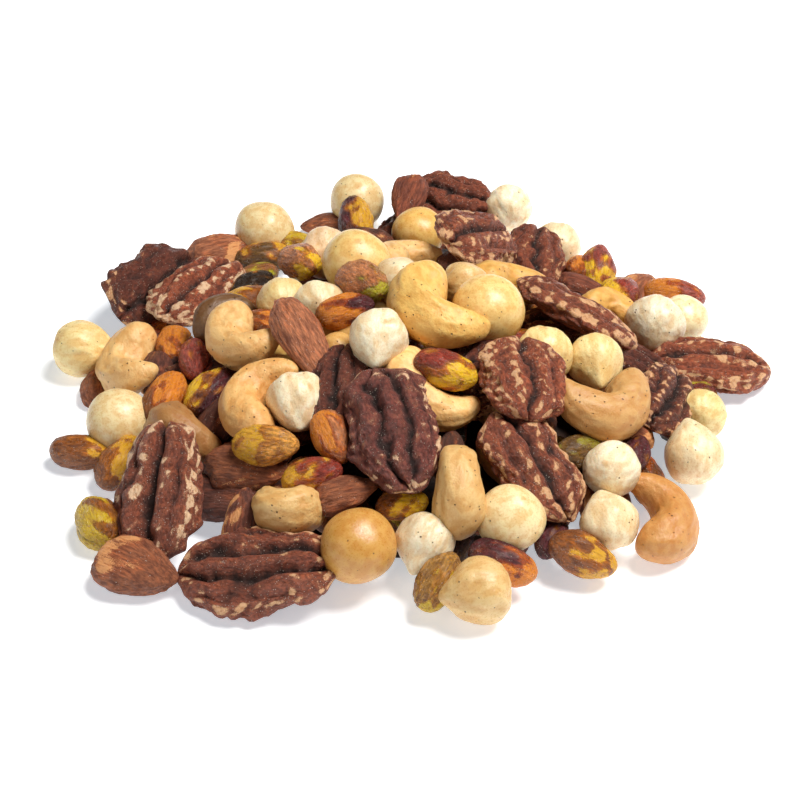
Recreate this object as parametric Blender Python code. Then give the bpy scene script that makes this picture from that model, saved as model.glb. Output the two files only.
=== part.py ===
"""A heap of mixed nuts on a table: pecans, cashews, almonds, pistachios, hazelnuts and macadamias.

The heap is one solid. A low mound fills its middle, and the nuts that show are fused onto the mound and
onto each other, at true size. The numbers are in millimetres and the solid is in metres. +X runs to the
right of the picture that the heap follows, +Y runs away from the viewer and +Z is up. The origin is on the
table, under the middle of the heap.
"""

import math
import random
from typing import NamedTuple

import bmesh
import bpy
import numpy as np

METRES_PER_MM = 0.001

# How the reference picture looks at the heap: the pixel that its middle falls on, the view onto it, and
# where along a sight line the heap can be.
MIDDLE_ACROSS = 405.0
MIDDLE_DOWN = 405.0
PIXELS_PER_MM = 4.15
VIEW_DISTANCE = 640.0
VIEW_ELEVATION = math.radians(37.0)
NEAREST_SIGHT = 480.0
FURTHEST_SIGHT = 864.0
SIGHT_STEP = 0.25
FORWARD = np.array([0.0, math.cos(VIEW_ELEVATION), -math.sin(VIEW_ELEVATION)])
RIGHT = np.array([1.0, 0.0, 0.0])
UP = np.cross(RIGHT, FORWARD)
EYE = -VIEW_DISTANCE * FORWARD

# The surface that the outer nuts lie on. It is level with the table beyond its radius, and its slope at a
# point is read from points this far to each side.
BED_RADIUS = 73.0
BED_HEIGHT = 25.0
BED_CENTRE = (2.0, -5.0)
BED_ROUNDNESS = 0.45
SLOPE_REACH = 2.0

# Length, width and thickness of a middling nut of each kind.
SIZES = {
    "pecan": (33.0, 19.0, 11.0),
    "cashew": (29.0, 21.0, 11.8),
    "almond": (22.0, 13.0, 8.5),
    "pistachio": (16.0, 9.6, 9.0),
    "hazelnut": (14.4, 14.0, 14.0),
    "macadamia": (16.5, 16.3, 16.0),
}

# The point of a round nut, as a share of its radius, and how narrow the point is.
TIP_HEIGHT = {"hazelnut": 0.26, "macadamia": 0.04}
TIP_SHARPNESS = 7.0

# How much narrower than its middle a nut is before its pointed end.
TAPER = {"almond": 0.34, "pistachio": 0.10}

# A cashew is a bow: half the angle that it turns through, its half thickness against its half length, how
# much that thins towards its narrow end, how blunt the ends are, and where its middle lies on the radius of
# the bow.
CASHEW_SPAN = math.radians(106.0)
CASHEW_LIMB = 0.38
CASHEW_TAPER = 0.32
CASHEW_BLUNTNESS = 3.5
CASHEW_MIDDLE = 0.5

# A pecan half has a seam between its two lobes and a furrow along each lobe, and its inner face is nearly
# flat.
SEAM_WIDTH = 0.22
SEAM_DEPTH = 0.42
FURROW_PLACE = 0.8
FURROW_WIDTH = 0.16
FURROW_DEPTH = 0.14
INNER_FLATNESS = 0.62

# How much fuller than an egg the ends of a pecan half are: 2 is as full.
PECAN_BLUNTNESS = 3.2

# Nuts that touch are this much into each other.
BITE = 1.6

# How often the nuts are moved apart, how fast, and how strongly each is drawn back to the bed meanwhile.
ROUNDS = 70
PUSH = 0.25
LARGEST_STEP = 1.5
PULL = 0.08
NEIGHBOUR_REACH = 45.0
RIM_LOOSENESS = 0.25
RIM_BED_HEIGHT = 2.0
STAND_IN_BALLS = 6
STAND_IN_REACH = 0.66
CASHEW_STAND_IN_REACH = 0.85
STAND_IN_FULLNESS = {"pecan": 0.66, "almond": 0.85, "pistachio": 0.95}

# Lower nuts round the mound that fill gaps: how many places are tried, how far out, of what kinds and
# sizes, how far they sink into the bed, by what share of their thickness they may be into another, and how
# much is hidden.
FILLER_SEED = 11
FILLER_TRIES = 2500
FILLER_RING = (54.0, 84.0)
FILLER_KINDS = ("pistachio", "almond", "almond", "pecan", "hazelnut")
FILLER_SIZES = (0.75, 0.95)
FILLER_SINK = 2.0
FILLER_OVERLAP = (0.1, 0.42)
FILLER_HIDDEN = 0.8

# A ball is looked at in its middle and this far out towards its edge, as a share of its radius, on four
# sides.
LOOK_ASIDE = 0.8

# A nut that stands free is pushed against its nearest neighbour until it is this much into it.
HOLD = 2.0
LINKED_SHARE = 0.9

# The mound in the middle of the heap: how far its bumps rise above the bed, and how steep its edge is.
MOUND_RADIUS = 69.0
MOUND_BUMPS = (3.0, 5.0)
MOUND_EDGE = 0.4
MOUND_SUBDIVISIONS = 3
MOUND_SEED = 5

# Sides of each long nut round its length and along it, and how finely a round one is divided. Nuts are a
# little fatter than true, so that their flat faces do not cut into their roundness.
FACETS = {"pecan": (8, 6), "cashew": (6, 7), "almond": (6, 5), "pistachio": (6, 4)}
ROUND_SUBDIVISIONS = 2
FACET_ALLOWANCE = 1.03
FILLER_FACETS = (5, 4)

# Edges of the fused solid that bend by less than this are dissolved.
FLAT_ANGLE = math.radians(5.0)

# Half-way between the ends of the heap, seen from above, when its middle in the picture is at 0.
HEAP_MIDDLE = np.array([1.32, 2.25, 0.0])

NUT_COLOUR = (0.62, 0.44, 0.27)
MOUND_COLOUR = (0.12, 0.07, 0.05)

# Two nuts that overlap by less than this share in the picture part in the direction that is nearer.
GLANCING = 0.72


class Nut(NamedTuple):
    """One nut of the picture: the pixel of its middle, and how it lies.

    turn is the direction of its long axis in the picture, in degrees, anticlockwise from the right. pitch
    raises the end of that axis off the slope of the heap, and roll turns the nut about it. stretch is the
    share of its length that it has, and lift is how far it starts above the bed, in millimetres.
    """

    kind: str
    across: float
    down: float
    turn: float = 0.0
    pitch: float = 0.0
    roll: float = 0.0
    size: float = 1.0
    stretch: float = 1.0
    lift: float = 0.0


class Placed(NamedTuple):
    """A nut in the heap: its kind, its size along its three axes, those axes as columns, and its centre."""

    kind: str
    size: np.ndarray
    axes: np.ndarray
    centre: np.ndarray


# The nuts in view, the furthest first: each lies on, or in front of, those before it.
NUTS_IN_VIEW = (
    # Far edge
    Nut("almond", 326, 225, 184, size=0.62),
    Nut("macadamia", 259, 230, 90, size=0.95),
    Nut("macadamia", 360, 191, 100, size=0.88),
    Nut("hazelnut", 523, 210, 100, size=0.88),
    Nut("hazelnut", 557, 245, 60, size=0.92),
    Nut("pistachio", 581, 271, 80, size=0.9),
    Nut("pistachio", 598, 269, 85, 25, size=0.9, lift=2),
    Nut("pistachio", 624, 289, 15, size=0.9, lift=2),
    Nut("pistachio", 674, 296, -6, size=1.0),
    Nut("macadamia", 696, 321, size=0.76),
    Nut("hazelnut", 655, 324, 70, size=1.03),
    Nut("almond", 577, 287, -20, size=0.62),
    Nut("almond", 217, 252, 18, roll=20, size=0.85),
    Nut("pistachio", 291, 247, 170, size=0.9),
    Nut("pistachio", 258, 258, 10, size=0.95),
    Nut("pecan", 147, 287, 45, roll=35, size=1.05, stretch=0.88),
    # Far slope
    Nut("almond", 344, 243, 20, size=0.8),
    Nut("pecan", 394, 228, 50, size=0.55),
    Nut("pistachio", 352, 217, 100, 20, size=0.98, lift=2),
    Nut("almond", 403, 195, 245, -15, size=0.7, lift=8),
    Nut("almond", 468, 263, 10, size=0.8),
    Nut("pecan", 450, 201, -12, roll=30, size=0.85, stretch=0.88),
    Nut("pecan", 535, 259, 100, 30, size=0.8, stretch=0.9),
    Nut("macadamia", 418, 233, 80, size=0.84),
    Nut("pecan", 476, 241, 12, roll=35, size=0.98, stretch=0.8),
    Nut("hazelnut", 326, 253, 90, size=0.92),
    Nut("pistachio", 291, 268, -20, size=1.0, lift=1),
    Nut("cashew", 407, 260, 20, size=0.78),
    Nut("macadamia", 356, 263, size=1.0),
    Nut("hazelnut", 398, 281, size=0.85),
    Nut("pistachio", 252, 286, 30, size=0.8),
    Nut("cashew", 226, 318, 30, roll=60, size=0.62),
    Nut("pistachio", 246, 303, 20, size=0.9),
    Nut("almond", 174, 302, 45, size=0.8),
    Nut("pecan", 199, 292, 40, roll=25, size=0.95, stretch=0.95, lift=3),
    Nut("hazelnut", 283, 303, 90, size=0.9),
    Nut("hazelnut", 319, 307, 90, size=0.92),
    Nut("pistachio", 363, 283, -25, size=1.1),
    Nut("pistachio", 345, 311, 15, size=0.9),
    # Right flank
    Nut("cashew", 513, 287, -8, size=0.85),
    Nut("hazelnut", 464, 285, size=0.8),
    Nut("macadamia", 488, 311, size=1.05),
    Nut("cashew", 612, 312, -20, size=0.62),
    Nut("pecan", 577, 315, -31, roll=-15, size=0.88, stretch=1.15),
    Nut("pecan", 634, 360, -30, size=0.6),
    Nut("cashew", 440, 309, -46, roll=180, size=1.08, lift=2),
    Nut("pecan", 711, 366, -6, size=0.92, stretch=0.98),
    Nut("hazelnut", 544, 354, 100, size=0.95),
    Nut("hazelnut", 703, 413, 40, size=0.85),
    Nut("almond", 625, 432, 160, size=0.65),
    Nut("pecan", 664, 400, 54, roll=10, size=0.8, stretch=0.95),
    Nut("hazelnut", 595, 362, -80, size=0.96),
    Nut("cashew", 601, 401, 184, size=0.98),
    Nut("hazelnut", 694, 457, 110, 20, size=1.0),
    # Left flank
    Nut("pistachio", 266, 324, size=0.8),
    Nut("cashew", 245, 337, -35, roll=180, size=0.88),
    Nut("hazelnut", 66, 337, size=1.0),
    Nut("pistachio", 174, 347, -85, size=0.95),
    Nut("pistachio", 196, 361, -78, size=0.9),
    Nut("almond", 156, 366, 90, size=0.65),
    Nut("cashew", 130, 364, -75, roll=180, size=0.95),
    Nut("almond", 89, 388, 100, size=0.68),
    Nut("pistachio", 165, 398, 63, size=1.0),
    Nut("almond", 223, 416, 60, size=0.75),
    Nut("pistachio", 208, 392, 50, size=0.92),
    Nut("macadamia", 108, 421, 20, size=0.94),
    Nut("cashew", 185, 435, -32, roll=120, size=0.92, stretch=0.85),
    Nut("pistachio", 75, 457, -4, size=0.92),
    Nut("pistachio", 123, 469, 57, size=0.97),
    Nut("pistachio", 96, 519, 120, size=1.12, stretch=0.9),
    # Middle
    Nut("cashew", 261, 398, 68, size=0.92),
    Nut("hazelnut", 338, 352, size=0.66),
    Nut("pecan", 337, 388, 80, size=0.75),
    Nut("hazelnut", 380, 338, -95, size=0.98, lift=2),
    Nut("almond", 305, 343, -53, -25, size=0.76, stretch=1.6, lift=3),
    Nut("pecan", 478, 366, 30, size=0.6),
    Nut("pecan", 472, 404, 20, size=0.42),
    Nut("cashew", 432, 393, -38, roll=180, size=0.92, lift=1),
    Nut("pistachio", 446, 370, -20, size=0.95),
    Nut("hazelnut", 297, 401, -85, size=0.98),
    Nut("pecan", 524, 380, -86, size=1.0, stretch=0.72),
    # Lower edge
    Nut("almond", 232, 496, size=0.95),
    Nut("almond", 246, 469, -5, size=0.92),
    Nut("almond", 237, 518, 75, 20, size=0.65),
    Nut("cashew", 285, 508, 168, roll=50, size=0.82, stretch=0.78),
    Nut("pistachio", 266, 445, size=1.0),
    Nut("almond", 345, 493, 15, size=0.66),
    Nut("pistachio", 312, 476, 15, size=0.88),
    Nut("pistachio", 332, 437, -65, size=0.93),
    Nut("pistachio", 402, 504, 10, size=0.75),
    Nut("almond", 446, 453, 80, size=0.6),
    Nut("cashew", 459, 487, 84, roll=80, size=0.85),
    Nut("pistachio", 578, 453, 10, size=0.85),
    Nut("pistachio", 636, 454, 60, size=0.7),
    Nut("pistachio", 552, 538, 60, size=0.7),
    Nut("hazelnut", 612, 469, 60, size=0.93),
    Nut("hazelnut", 609, 523, 100, size=0.94),
    Nut("cashew", 670, 516, 96, roll=180, size=0.92),
    Nut("macadamia", 510, 518, size=0.92),
    Nut("pecan", 533, 466, -57, size=0.92),
    Nut("macadamia", 358, 546, 30, size=1.02),
    Nut("pecan", 393, 431, -73, size=1.0),
    Nut("pistachio", 438, 581, 60, size=0.95),
    Nut("hazelnut", 425, 541, -112, size=0.94),
    Nut("pistachio", 503, 563, -22, size=1.0),
    Nut("hazelnut", 480, 591, 190, size=1.04),
    Nut("pistachio", 583, 555, -25, size=1.0),
    Nut("pecan", 161, 491, 80, 12, size=1.05),
    Nut("almond", 137, 569, -20, size=1.2, stretch=0.75),
    Nut("pecan", 256, 572, 3, size=1.08),
)


def bed_height(x, y):
    """Height over the table of the surface that the outer nuts lie on."""
    reach = np.hypot(x - BED_CENTRE[0], y - BED_CENTRE[1]) / BED_RADIUS
    fall = np.sqrt(reach**2 + BED_ROUNDNESS**2) - BED_ROUNDNESS
    whole_fall = math.hypot(1.0, BED_ROUNDNESS) - BED_ROUNDNESS
    return BED_HEIGHT * np.clip(1.0 - fall / whole_fall, 0.0, None)


def bed_normal(x, y):
    """Upward normal of the bed, which is straight up beside it."""
    rise_x = bed_height(x + SLOPE_REACH, y) - bed_height(x - SLOPE_REACH, y)
    rise_y = bed_height(x, y + SLOPE_REACH) - bed_height(x, y - SLOPE_REACH)
    normal = np.array([-rise_x, -rise_y, 2.0 * SLOPE_REACH])
    return normal / np.linalg.norm(normal)


def sight_line(across, down):
    """Unit direction from the eye through one pixel of the picture."""
    scale = PIXELS_PER_MM * VIEW_DISTANCE
    ray = FORWARD + (across - MIDDLE_ACROSS) / scale * RIGHT + (MIDDLE_DOWN - down) / scale * UP
    return ray / np.linalg.norm(ray)


def sight_to_bed(ray, lift):
    """How far along a ray a point comes down to this lift above the bed."""
    steps = np.arange(NEAREST_SIGHT, FURTHEST_SIGHT, SIGHT_STEP)
    points = EYE + steps[:, None] * ray
    under = points[:, 2] <= bed_height(points[:, 0], points[:, 1]) + lift
    return steps[np.argmax(under)]


def axes_on(normal, heading, pitch, roll):
    """Axes of a nut that lies on a surface with this normal and heads along the surface."""
    along = heading - (heading @ normal) * normal
    along /= np.linalg.norm(along)
    side = np.cross(normal, along)
    pitch, roll = math.radians(pitch), math.radians(roll)
    long_axis = math.cos(pitch) * along + math.sin(pitch) * normal
    top = np.cross(long_axis, side)
    return np.column_stack([
        long_axis,
        math.cos(roll) * side + math.sin(roll) * top,
        math.cos(roll) * top - math.sin(roll) * side,
    ])


def heading_seen(normal, turn):
    """The direction along a surface that shows in the picture as this turn."""
    angle = math.radians(turn)
    seen = math.cos(angle) * RIGHT + math.sin(angle) * UP
    return seen - (seen @ normal) / (FORWARD @ normal) * FORWARD


def half_sizes(kind):
    """Half the length, width and thickness of a middling nut of a kind."""
    return 0.5 * np.array(SIZES[kind])


def cashew_bow(kind, along):
    """The middle line of a cashew from -1 to 1: angle, bow radius and half thickness of the limb."""
    full_limb = CASHEW_LIMB * half_sizes(kind)[0]
    blunt = np.sqrt(np.clip(1.0 - np.abs(along) ** CASHEW_BLUNTNESS, 0.0, None))
    limb = full_limb * (1.0 - CASHEW_TAPER * along) * blunt
    return CASHEW_SPAN * along, half_sizes(kind)[0] - full_limb, limb


def size_along_axes(size, stretch):
    """Size of a nut along its length, width and thickness."""
    return size * np.array([stretch, 1.0, 1.0])


def stand_in(kind, size, axes):
    """Balls that stand in for a nut while it is put in place: rows of x, y, z and radius about its centre."""
    length, width, thickness = size * half_sizes(kind)
    if kind == "cashew":
        along = np.linspace(-CASHEW_STAND_IN_REACH, CASHEW_STAND_IN_REACH, STAND_IN_BALLS)
        angle, bow, limb = cashew_bow(kind, along)
        forward, out = bow * np.sin(angle), bow * (np.cos(angle) - CASHEW_MIDDLE)
        rows = np.column_stack([size[0] * forward, size[1] * out, 0.0 * along, size[2] * limb])
    elif kind in ("hazelnut", "macadamia"):
        rows = np.tile([0.0, 0.0, 0.0, width], (STAND_IN_BALLS, 1))
    else:
        along = np.repeat(np.linspace(-STAND_IN_REACH, STAND_IN_REACH, STAND_IN_BALLS // 2), 2)
        half_width = width * np.sqrt(1.0 - along**2)
        radius = np.minimum(STAND_IN_FULLNESS[kind] * thickness, half_width)
        side = np.tile([-1.0, 1.0], STAND_IN_BALLS // 2)
        rows = np.column_stack([length * along, side * (half_width - radius), 0.0 * along, radius])
    rows[:, :3] = rows[:, :3] @ axes.T
    return rows


def partings(front, back, rays):
    """How far pairs of nuts have to part along the front one's ray so that they only touch."""
    gaps = front[:, :, None, :3] - back[:, None, :, :3]
    reach = front[:, :, None, 3] + back[:, None, :, 3] - BITE
    along = np.einsum("pijk,pk->pij", gaps, rays)
    beside = (gaps**2).sum(3) - along**2
    need = np.sqrt(np.clip(reach**2 - beside, 0.0, None))
    passed = (beside > (GLANCING * reach) ** 2) & (along > 0.0)
    parting = np.where(passed, along - need, along + need)
    parting = np.where(along**2 + beside < reach**2, parting, 0.0).reshape(len(front), -1)
    worst = np.argmax(np.abs(parting), axis=1)
    return parting[np.arange(len(front)), worst]


def settle():
    """Put every nut of the picture in its place on the bed, each in front of those before it in the list."""
    rays = np.array([sight_line(nut.across, nut.down) for nut in NUTS_IN_VIEW])
    axes, homes, balls = [], [], []
    for nut, ray in zip(NUTS_IN_VIEW, rays):
        ground = EYE + sight_to_bed(ray, 0.5 * SIZES[nut.kind][2]) * ray
        normal = bed_normal(ground[0], ground[1])
        axes.append(axes_on(normal, heading_seen(normal, nut.turn), nut.pitch, nut.roll))
        balls.append(stand_in(nut.kind, size_along_axes(nut.size, nut.stretch), axes[-1]))
        depth = np.max(balls[-1][:, 3] - balls[-1][:, 2])
        homes.append(sight_to_bed(ray, depth + nut.lift))
    balls, homes = np.array(balls), np.array(homes)
    centres = EYE + homes[:, None] * rays
    looseness = np.where(bed_height(centres[:, 0], centres[:, 1]) > RIM_BED_HEIGHT, 1.0, RIM_LOOSENESS)
    far, near = np.triu_indices(len(homes), 1)
    close = np.linalg.norm(centres[far] - centres[near], axis=1) < NEIGHBOUR_REACH
    far, near = far[close], near[close]
    shifts = np.zeros(len(homes))
    for _ in range(ROUNDS):
        centres = EYE + (homes + shifts)[:, None] * rays
        placed = balls.copy()
        placed[:, :, :3] += centres[:, None]
        push = PUSH * partings(placed[near], placed[far], rays[near])
        step = np.bincount(far, push, len(homes)) - np.bincount(near, push, len(homes))
        shifts += np.clip(looseness * step, -LARGEST_STEP, LARGEST_STEP) - PULL * shifts
        lowest = np.min(placed[:, :, 2] - placed[:, :, 3], axis=1)
        shifts += np.clip(lowest, None, 0.0) / np.abs(rays[:, 2])
    centres = EYE + (homes + shifts)[:, None] * rays
    return [
        Placed(nut.kind, size_along_axes(nut.size, nut.stretch), own_axes, centre)
        for nut, own_axes, centre in zip(NUTS_IN_VIEW, axes, centres)
    ]


def placed_balls(nut):
    """The stand-in balls of a nut in its place."""
    return stand_in(nut.kind, nut.size, nut.axes) + np.append(nut.centre, 0.0)


def share_hidden(balls, screen):
    """Share of some balls that the screening balls hide from the eye."""
    sides = LOOK_ASIDE * np.array([0.0 * UP, UP, -UP, RIGHT, -RIGHT])
    rays = (balls[:, None, :3] + balls[:, None, 3:] * sides).reshape(-1, 3) - EYE
    reach = np.linalg.norm(rays, axis=1)
    rays /= reach[:, None]
    along = (screen[:, :3] - EYE) @ rays.T
    beside = np.sqrt(((screen[:, :3] - EYE) ** 2).sum(1)[:, None] - along**2)
    return np.mean(((beside < screen[:, 3:]) & (along < reach)).any(axis=0))


def filler_at(chance):
    """A low nut of a chance kind at a chance place on the heap."""
    reach = math.sqrt(chance.uniform(FILLER_RING[0] ** 2, FILLER_RING[1] ** 2))
    bearing = chance.uniform(0.0, 2.0 * math.pi)
    x, y = BED_CENTRE[0] + reach * math.cos(bearing), BED_CENTRE[1] + reach * math.sin(bearing)
    kind, size = chance.choice(FILLER_KINDS), size_along_axes(chance.uniform(*FILLER_SIZES), 1.0)
    turn = chance.uniform(0.0, 2.0 * math.pi)
    axes = axes_on(bed_normal(x, y), np.array([math.cos(turn), math.sin(turn), 0.0]), 0.0, 0.0)
    own = stand_in(kind, size, axes)
    sunk = max(bed_height(x, y) - FILLER_SINK, 0.0)
    return Placed(kind, size, axes, np.array([x, y, sunk + np.max(own[:, 3] - own[:, 2])]))


def fill_between(in_view):
    """Lower nuts that fill the gaps behind and between those in view, each touching another."""
    chance = random.Random(FILLER_SEED)
    screen = np.concatenate([placed_balls(nut) for nut in in_view])
    balls, found = screen, []
    for _ in range(FILLER_TRIES):
        nut = filler_at(chance)
        own = placed_balls(nut)
        apart = np.linalg.norm(own[:, None, :3] - balls[None, :, :3], axis=2)
        overlap = np.max((own[:, None, 3] + balls[None, :, 3] - apart) / own[:, None, 3])
        if FILLER_OVERLAP[0] < overlap < FILLER_OVERLAP[1] and share_hidden(own, screen) > FILLER_HIDDEN:
            found.append(nut)
            balls = np.concatenate([balls, own])
    return found


def held_nuts(balls, linked):
    """Which nuts the mound holds, by itself or by way of others."""
    mound_top = bed_height(balls[:, :, 0], balls[:, :, 1]) + MOUND_BUMPS[0]
    beside = np.hypot(balls[:, :, 0] - BED_CENTRE[0], balls[:, :, 1] - BED_CENTRE[1])
    sunk = balls[:, :, 2] - balls[:, :, 3] < mound_top - HOLD
    return together(linked, (sunk & (beside < MOUND_RADIUS - HOLD)).any(axis=1))


def together(linked, group):
    """A group of nuts with all those that are linked to it, one by way of another."""
    while (linked[:, group].any(axis=1) & ~group).any():
        group = group | linked[:, group].any(axis=1)
    return group


def against_the_heap(nuts):
    """Push nuts that stand free along the table until each touches one that the mound holds."""
    for _ in nuts:
        balls = np.array([placed_balls(nut) for nut in nuts])
        one, other = balls[:, None, :, None], balls[None, :, None, :]
        gap = one[..., :3] - other[..., :3]
        reach = one[..., 3] + other[..., 3]
        linked = (reach - np.linalg.norm(gap, axis=-1) > LINKED_SHARE * HOLD).any(axis=(2, 3))
        held = held_nuts(balls, linked)
        if held.all():
            break
        level = (reach - HOLD) ** 2 - gap[..., 2] ** 2
        move = np.linalg.norm(gap[..., :2], axis=-1) - np.sqrt(np.clip(level, 0.0, None))
        move[level < 0.0] = np.inf
        move[held] = np.inf
        move[:, ~held] = np.inf
        free, near, i, j = np.unravel_index(np.argmin(move), move.shape)
        way = -gap[free, near, i, j, :2] / np.linalg.norm(gap[free, near, i, j, :2])
        shift = np.append(move[free, near, i, j] * way, 0.0)
        group = together(linked, np.arange(len(nuts)) == free)
        nuts = [nut._replace(centre=nut.centre + shift) if moves else nut for nut, moves in zip(nuts, group)]
    return nuts


def round_nut(ball, kind):
    """Hazelnut or macadamia from the points of a ball of radius 1, with its tip on +X."""
    tip = TIP_HEIGHT[kind] * np.clip(ball[:, 0], 0.0, 1.0) ** TIP_SHARPNESS
    return ball * (1.0 + tip)[:, None] * half_sizes(kind)


def tapered_nut(ball, kind):
    """Almond or pistachio from the points of a ball of radius 1: slimmer towards its pointed end on +X."""
    slimness = 1.0 - TAPER[kind] * ball[:, 0]
    return ball * half_sizes(kind) * np.column_stack([np.ones_like(slimness), slimness, slimness])


def cashew(ball, kind):
    """Cashew from the points of a ball of radius 1: a bow that opens to -Y, with its thin end on +X."""
    angle, bow, limb = cashew_bow(kind, ball[:, 0])
    around = ball[:, 1:] / np.clip(np.hypot(ball[:, 1], ball[:, 2]), 1e-6, None)[:, None]
    out = bow + around[:, 0] * limb
    flatness = half_sizes(kind)[2] / (CASHEW_LIMB * half_sizes(kind)[0])
    return np.column_stack([
        out * np.sin(angle), out * np.cos(angle) - CASHEW_MIDDLE * bow, around[:, 1] * limb * flatness,
    ])


def fuller_ends(along):
    """How much wider than an egg a pecan half is from one end at -1 to the other at 1."""
    return np.sqrt((1.0 - np.abs(along) ** PECAN_BLUNTNESS + 1e-4) / (1.0 - along**2 + 1e-4))


def pecan(ball, kind):
    """Pecan half from the points of a ball of radius 1: two furrowed lobes on +Z, nearly flat on -Z."""
    across = np.abs(ball[:, 1]) / np.clip(np.hypot(ball[:, 1], ball[:, 2]), 1e-6, None)
    seam = SEAM_DEPTH * np.exp(-((across / SEAM_WIDTH) ** 2))
    furrow = FURROW_DEPTH * np.exp(-(((across - FURROW_PLACE) / FURROW_WIDTH) ** 2))
    shaped = ball * half_sizes(kind)
    shaped[:, 2] *= np.where(ball[:, 2] > 0.0, 1.0 - seam - furrow, INNER_FLATNESS)
    shaped[:, 1:] *= fuller_ends(ball[:, 0])[:, None]
    return shaped


SHAPES = {
    "pecan": pecan,
    "cashew": cashew,
    "almond": tapered_nut,
    "pistachio": tapered_nut,
    "hazelnut": round_nut,
    "macadamia": round_nut,
}


def set_points(bm, points):
    """Move the vertices of a bmesh to points in millimetres."""
    for vertex, point in zip(bm.verts, METRES_PER_MM * points):
        vertex.co = point


def points_of(bm):
    """The vertices of a bmesh as rows, with the poles of the primitive turned onto X."""
    return np.array([vertex.co[:] for vertex in bm.verts])[:, [2, 0, 1]]


def add_object(bm, name, collection, colour):
    """Make an object of a bmesh in a collection, with a plain material of its own."""
    bmesh.ops.recalc_face_normals(bm, faces=bm.faces)
    bmesh.ops.triangulate(bm, faces=bm.faces)
    mesh = bpy.data.meshes.new(name)
    bm.to_mesh(mesh)
    bm.free()
    item = bpy.data.objects.new(name, mesh)
    collection.objects.link(item)
    material = bpy.data.materials.new(name)
    material.use_nodes = True
    material.node_tree.nodes["Principled BSDF"].inputs["Base Color"].default_value = (*colour, 1.0)
    mesh.materials.append(material)
    return item


def add_nut(nut, facets, name, collection):
    """One nut as a closed solid with few sides: facets counts them round and along it, if it is no ball."""
    bm = bmesh.new()
    if facets:
        segments, rings = facets
        bmesh.ops.create_uvsphere(bm, u_segments=segments, v_segments=rings, radius=1.0)
    else:
        bmesh.ops.create_icosphere(bm, subdivisions=ROUND_SUBDIVISIONS, radius=1.0)
    shaped = nut.size * FACET_ALLOWANCE * SHAPES[nut.kind](points_of(bm), nut.kind)
    shaped = shaped @ nut.axes.T + nut.centre - HEAP_MIDDLE
    shaped[:, 2] = np.clip(shaped[:, 2], 0.0, None)
    set_points(bm, shaped)
    return add_object(bm, name, collection, NUT_COLOUR)


def add_mound(collection):
    """The mound under the nuts: a bumpy dome with a flat base on the table."""
    chance = random.Random(MOUND_SEED)
    bm = bmesh.new()
    bmesh.ops.create_icosphere(bm, subdivisions=MOUND_SUBDIVISIONS, radius=1.0)
    ball = points_of(bm)[:, [1, 2, 0]]
    flat = ball[:, :2] * MOUND_RADIUS + BED_CENTRE
    top = bed_height(flat[:, 0], flat[:, 1]) + [chance.uniform(*MOUND_BUMPS) for _ in ball]
    dome = top * np.clip(ball[:, 2], 0.0, 1.0) ** MOUND_EDGE
    set_points(bm, np.column_stack([flat, dome]) - HEAP_MIDDLE)
    return add_object(bm, "nut_heap", collection, MOUND_COLOUR)


def fuse(target, others):
    """Fuse a collection of solids onto one object and take the collection's objects away."""
    union = target.modifiers.new("fuse", "BOOLEAN")
    union.operation = "UNION"
    union.operand_type = "COLLECTION"
    union.collection = others
    union.solver = "EXACT"
    bpy.context.view_layer.objects.active = target
    bpy.ops.object.modifier_apply(modifier=union.name)
    for item in list(others.objects):
        bpy.data.objects.remove(item)
    bpy.data.collections.remove(others)


def islands(bm):
    """The separate pieces of a bmesh, each as a list of faces."""
    left = set(bm.faces)
    pieces = []
    while left:
        piece, waiting = [], [left.pop()]
        while waiting:
            face = waiting.pop()
            piece.append(face)
            for edge in face.edges:
                for other in edge.link_faces:
                    if other in left:
                        left.remove(other)
                        waiting.append(other)
        pieces.append(piece)
    return pieces


def tidy_skin(item):
    """Leave one outer skin: fill sealed hollows, drop loose scraps and dissolve edges that hardly bend."""
    bm = bmesh.new()
    bm.from_mesh(item.data)
    pieces = sorted(islands(bm), key=len)
    for piece in pieces[:-1]:
        bmesh.ops.delete(bm, geom=piece, context="FACES")
    bmesh.ops.dissolve_limit(bm, angle_limit=FLAT_ANGLE, verts=bm.verts, edges=bm.edges)
    bmesh.ops.triangulate(bm, faces=bm.faces)
    bm.to_mesh(item.data)
    bm.free()


def build():
    """Build the heap as one closed solid."""
    for item in list(bpy.data.objects):
        bpy.data.objects.remove(item)
    nuts = bpy.data.collections.new("nuts")
    bpy.context.scene.collection.children.link(nuts)
    in_view = settle()
    fillers = fill_between(in_view)
    placed = against_the_heap(in_view + fillers)
    for number, nut in enumerate(placed):
        facets = FACETS.get(nut.kind) if number < len(in_view) else FILLER_FACETS
        add_nut(nut, facets, f"{nut.kind}_{number}", nuts)
    mound = add_mound(bpy.context.scene.collection)
    fuse(mound, nuts)
    tidy_skin(mound)
    mound.data.shade_flat()


build()
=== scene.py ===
"""A heap of mixed nuts on a pale table: the real nuts in place of the one fused solid, and their looks.

Every nut is placed as in the part's own source, in millimetres, with +X to the right of the picture, +Y
away from the viewer and +Z up. There is one mesh for each kind, in metres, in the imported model's frame.
"""

import math
import random
from functools import partial
from typing import NamedTuple

import bmesh
import bpy
import numpy as np
from mathutils import Matrix, Vector

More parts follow.
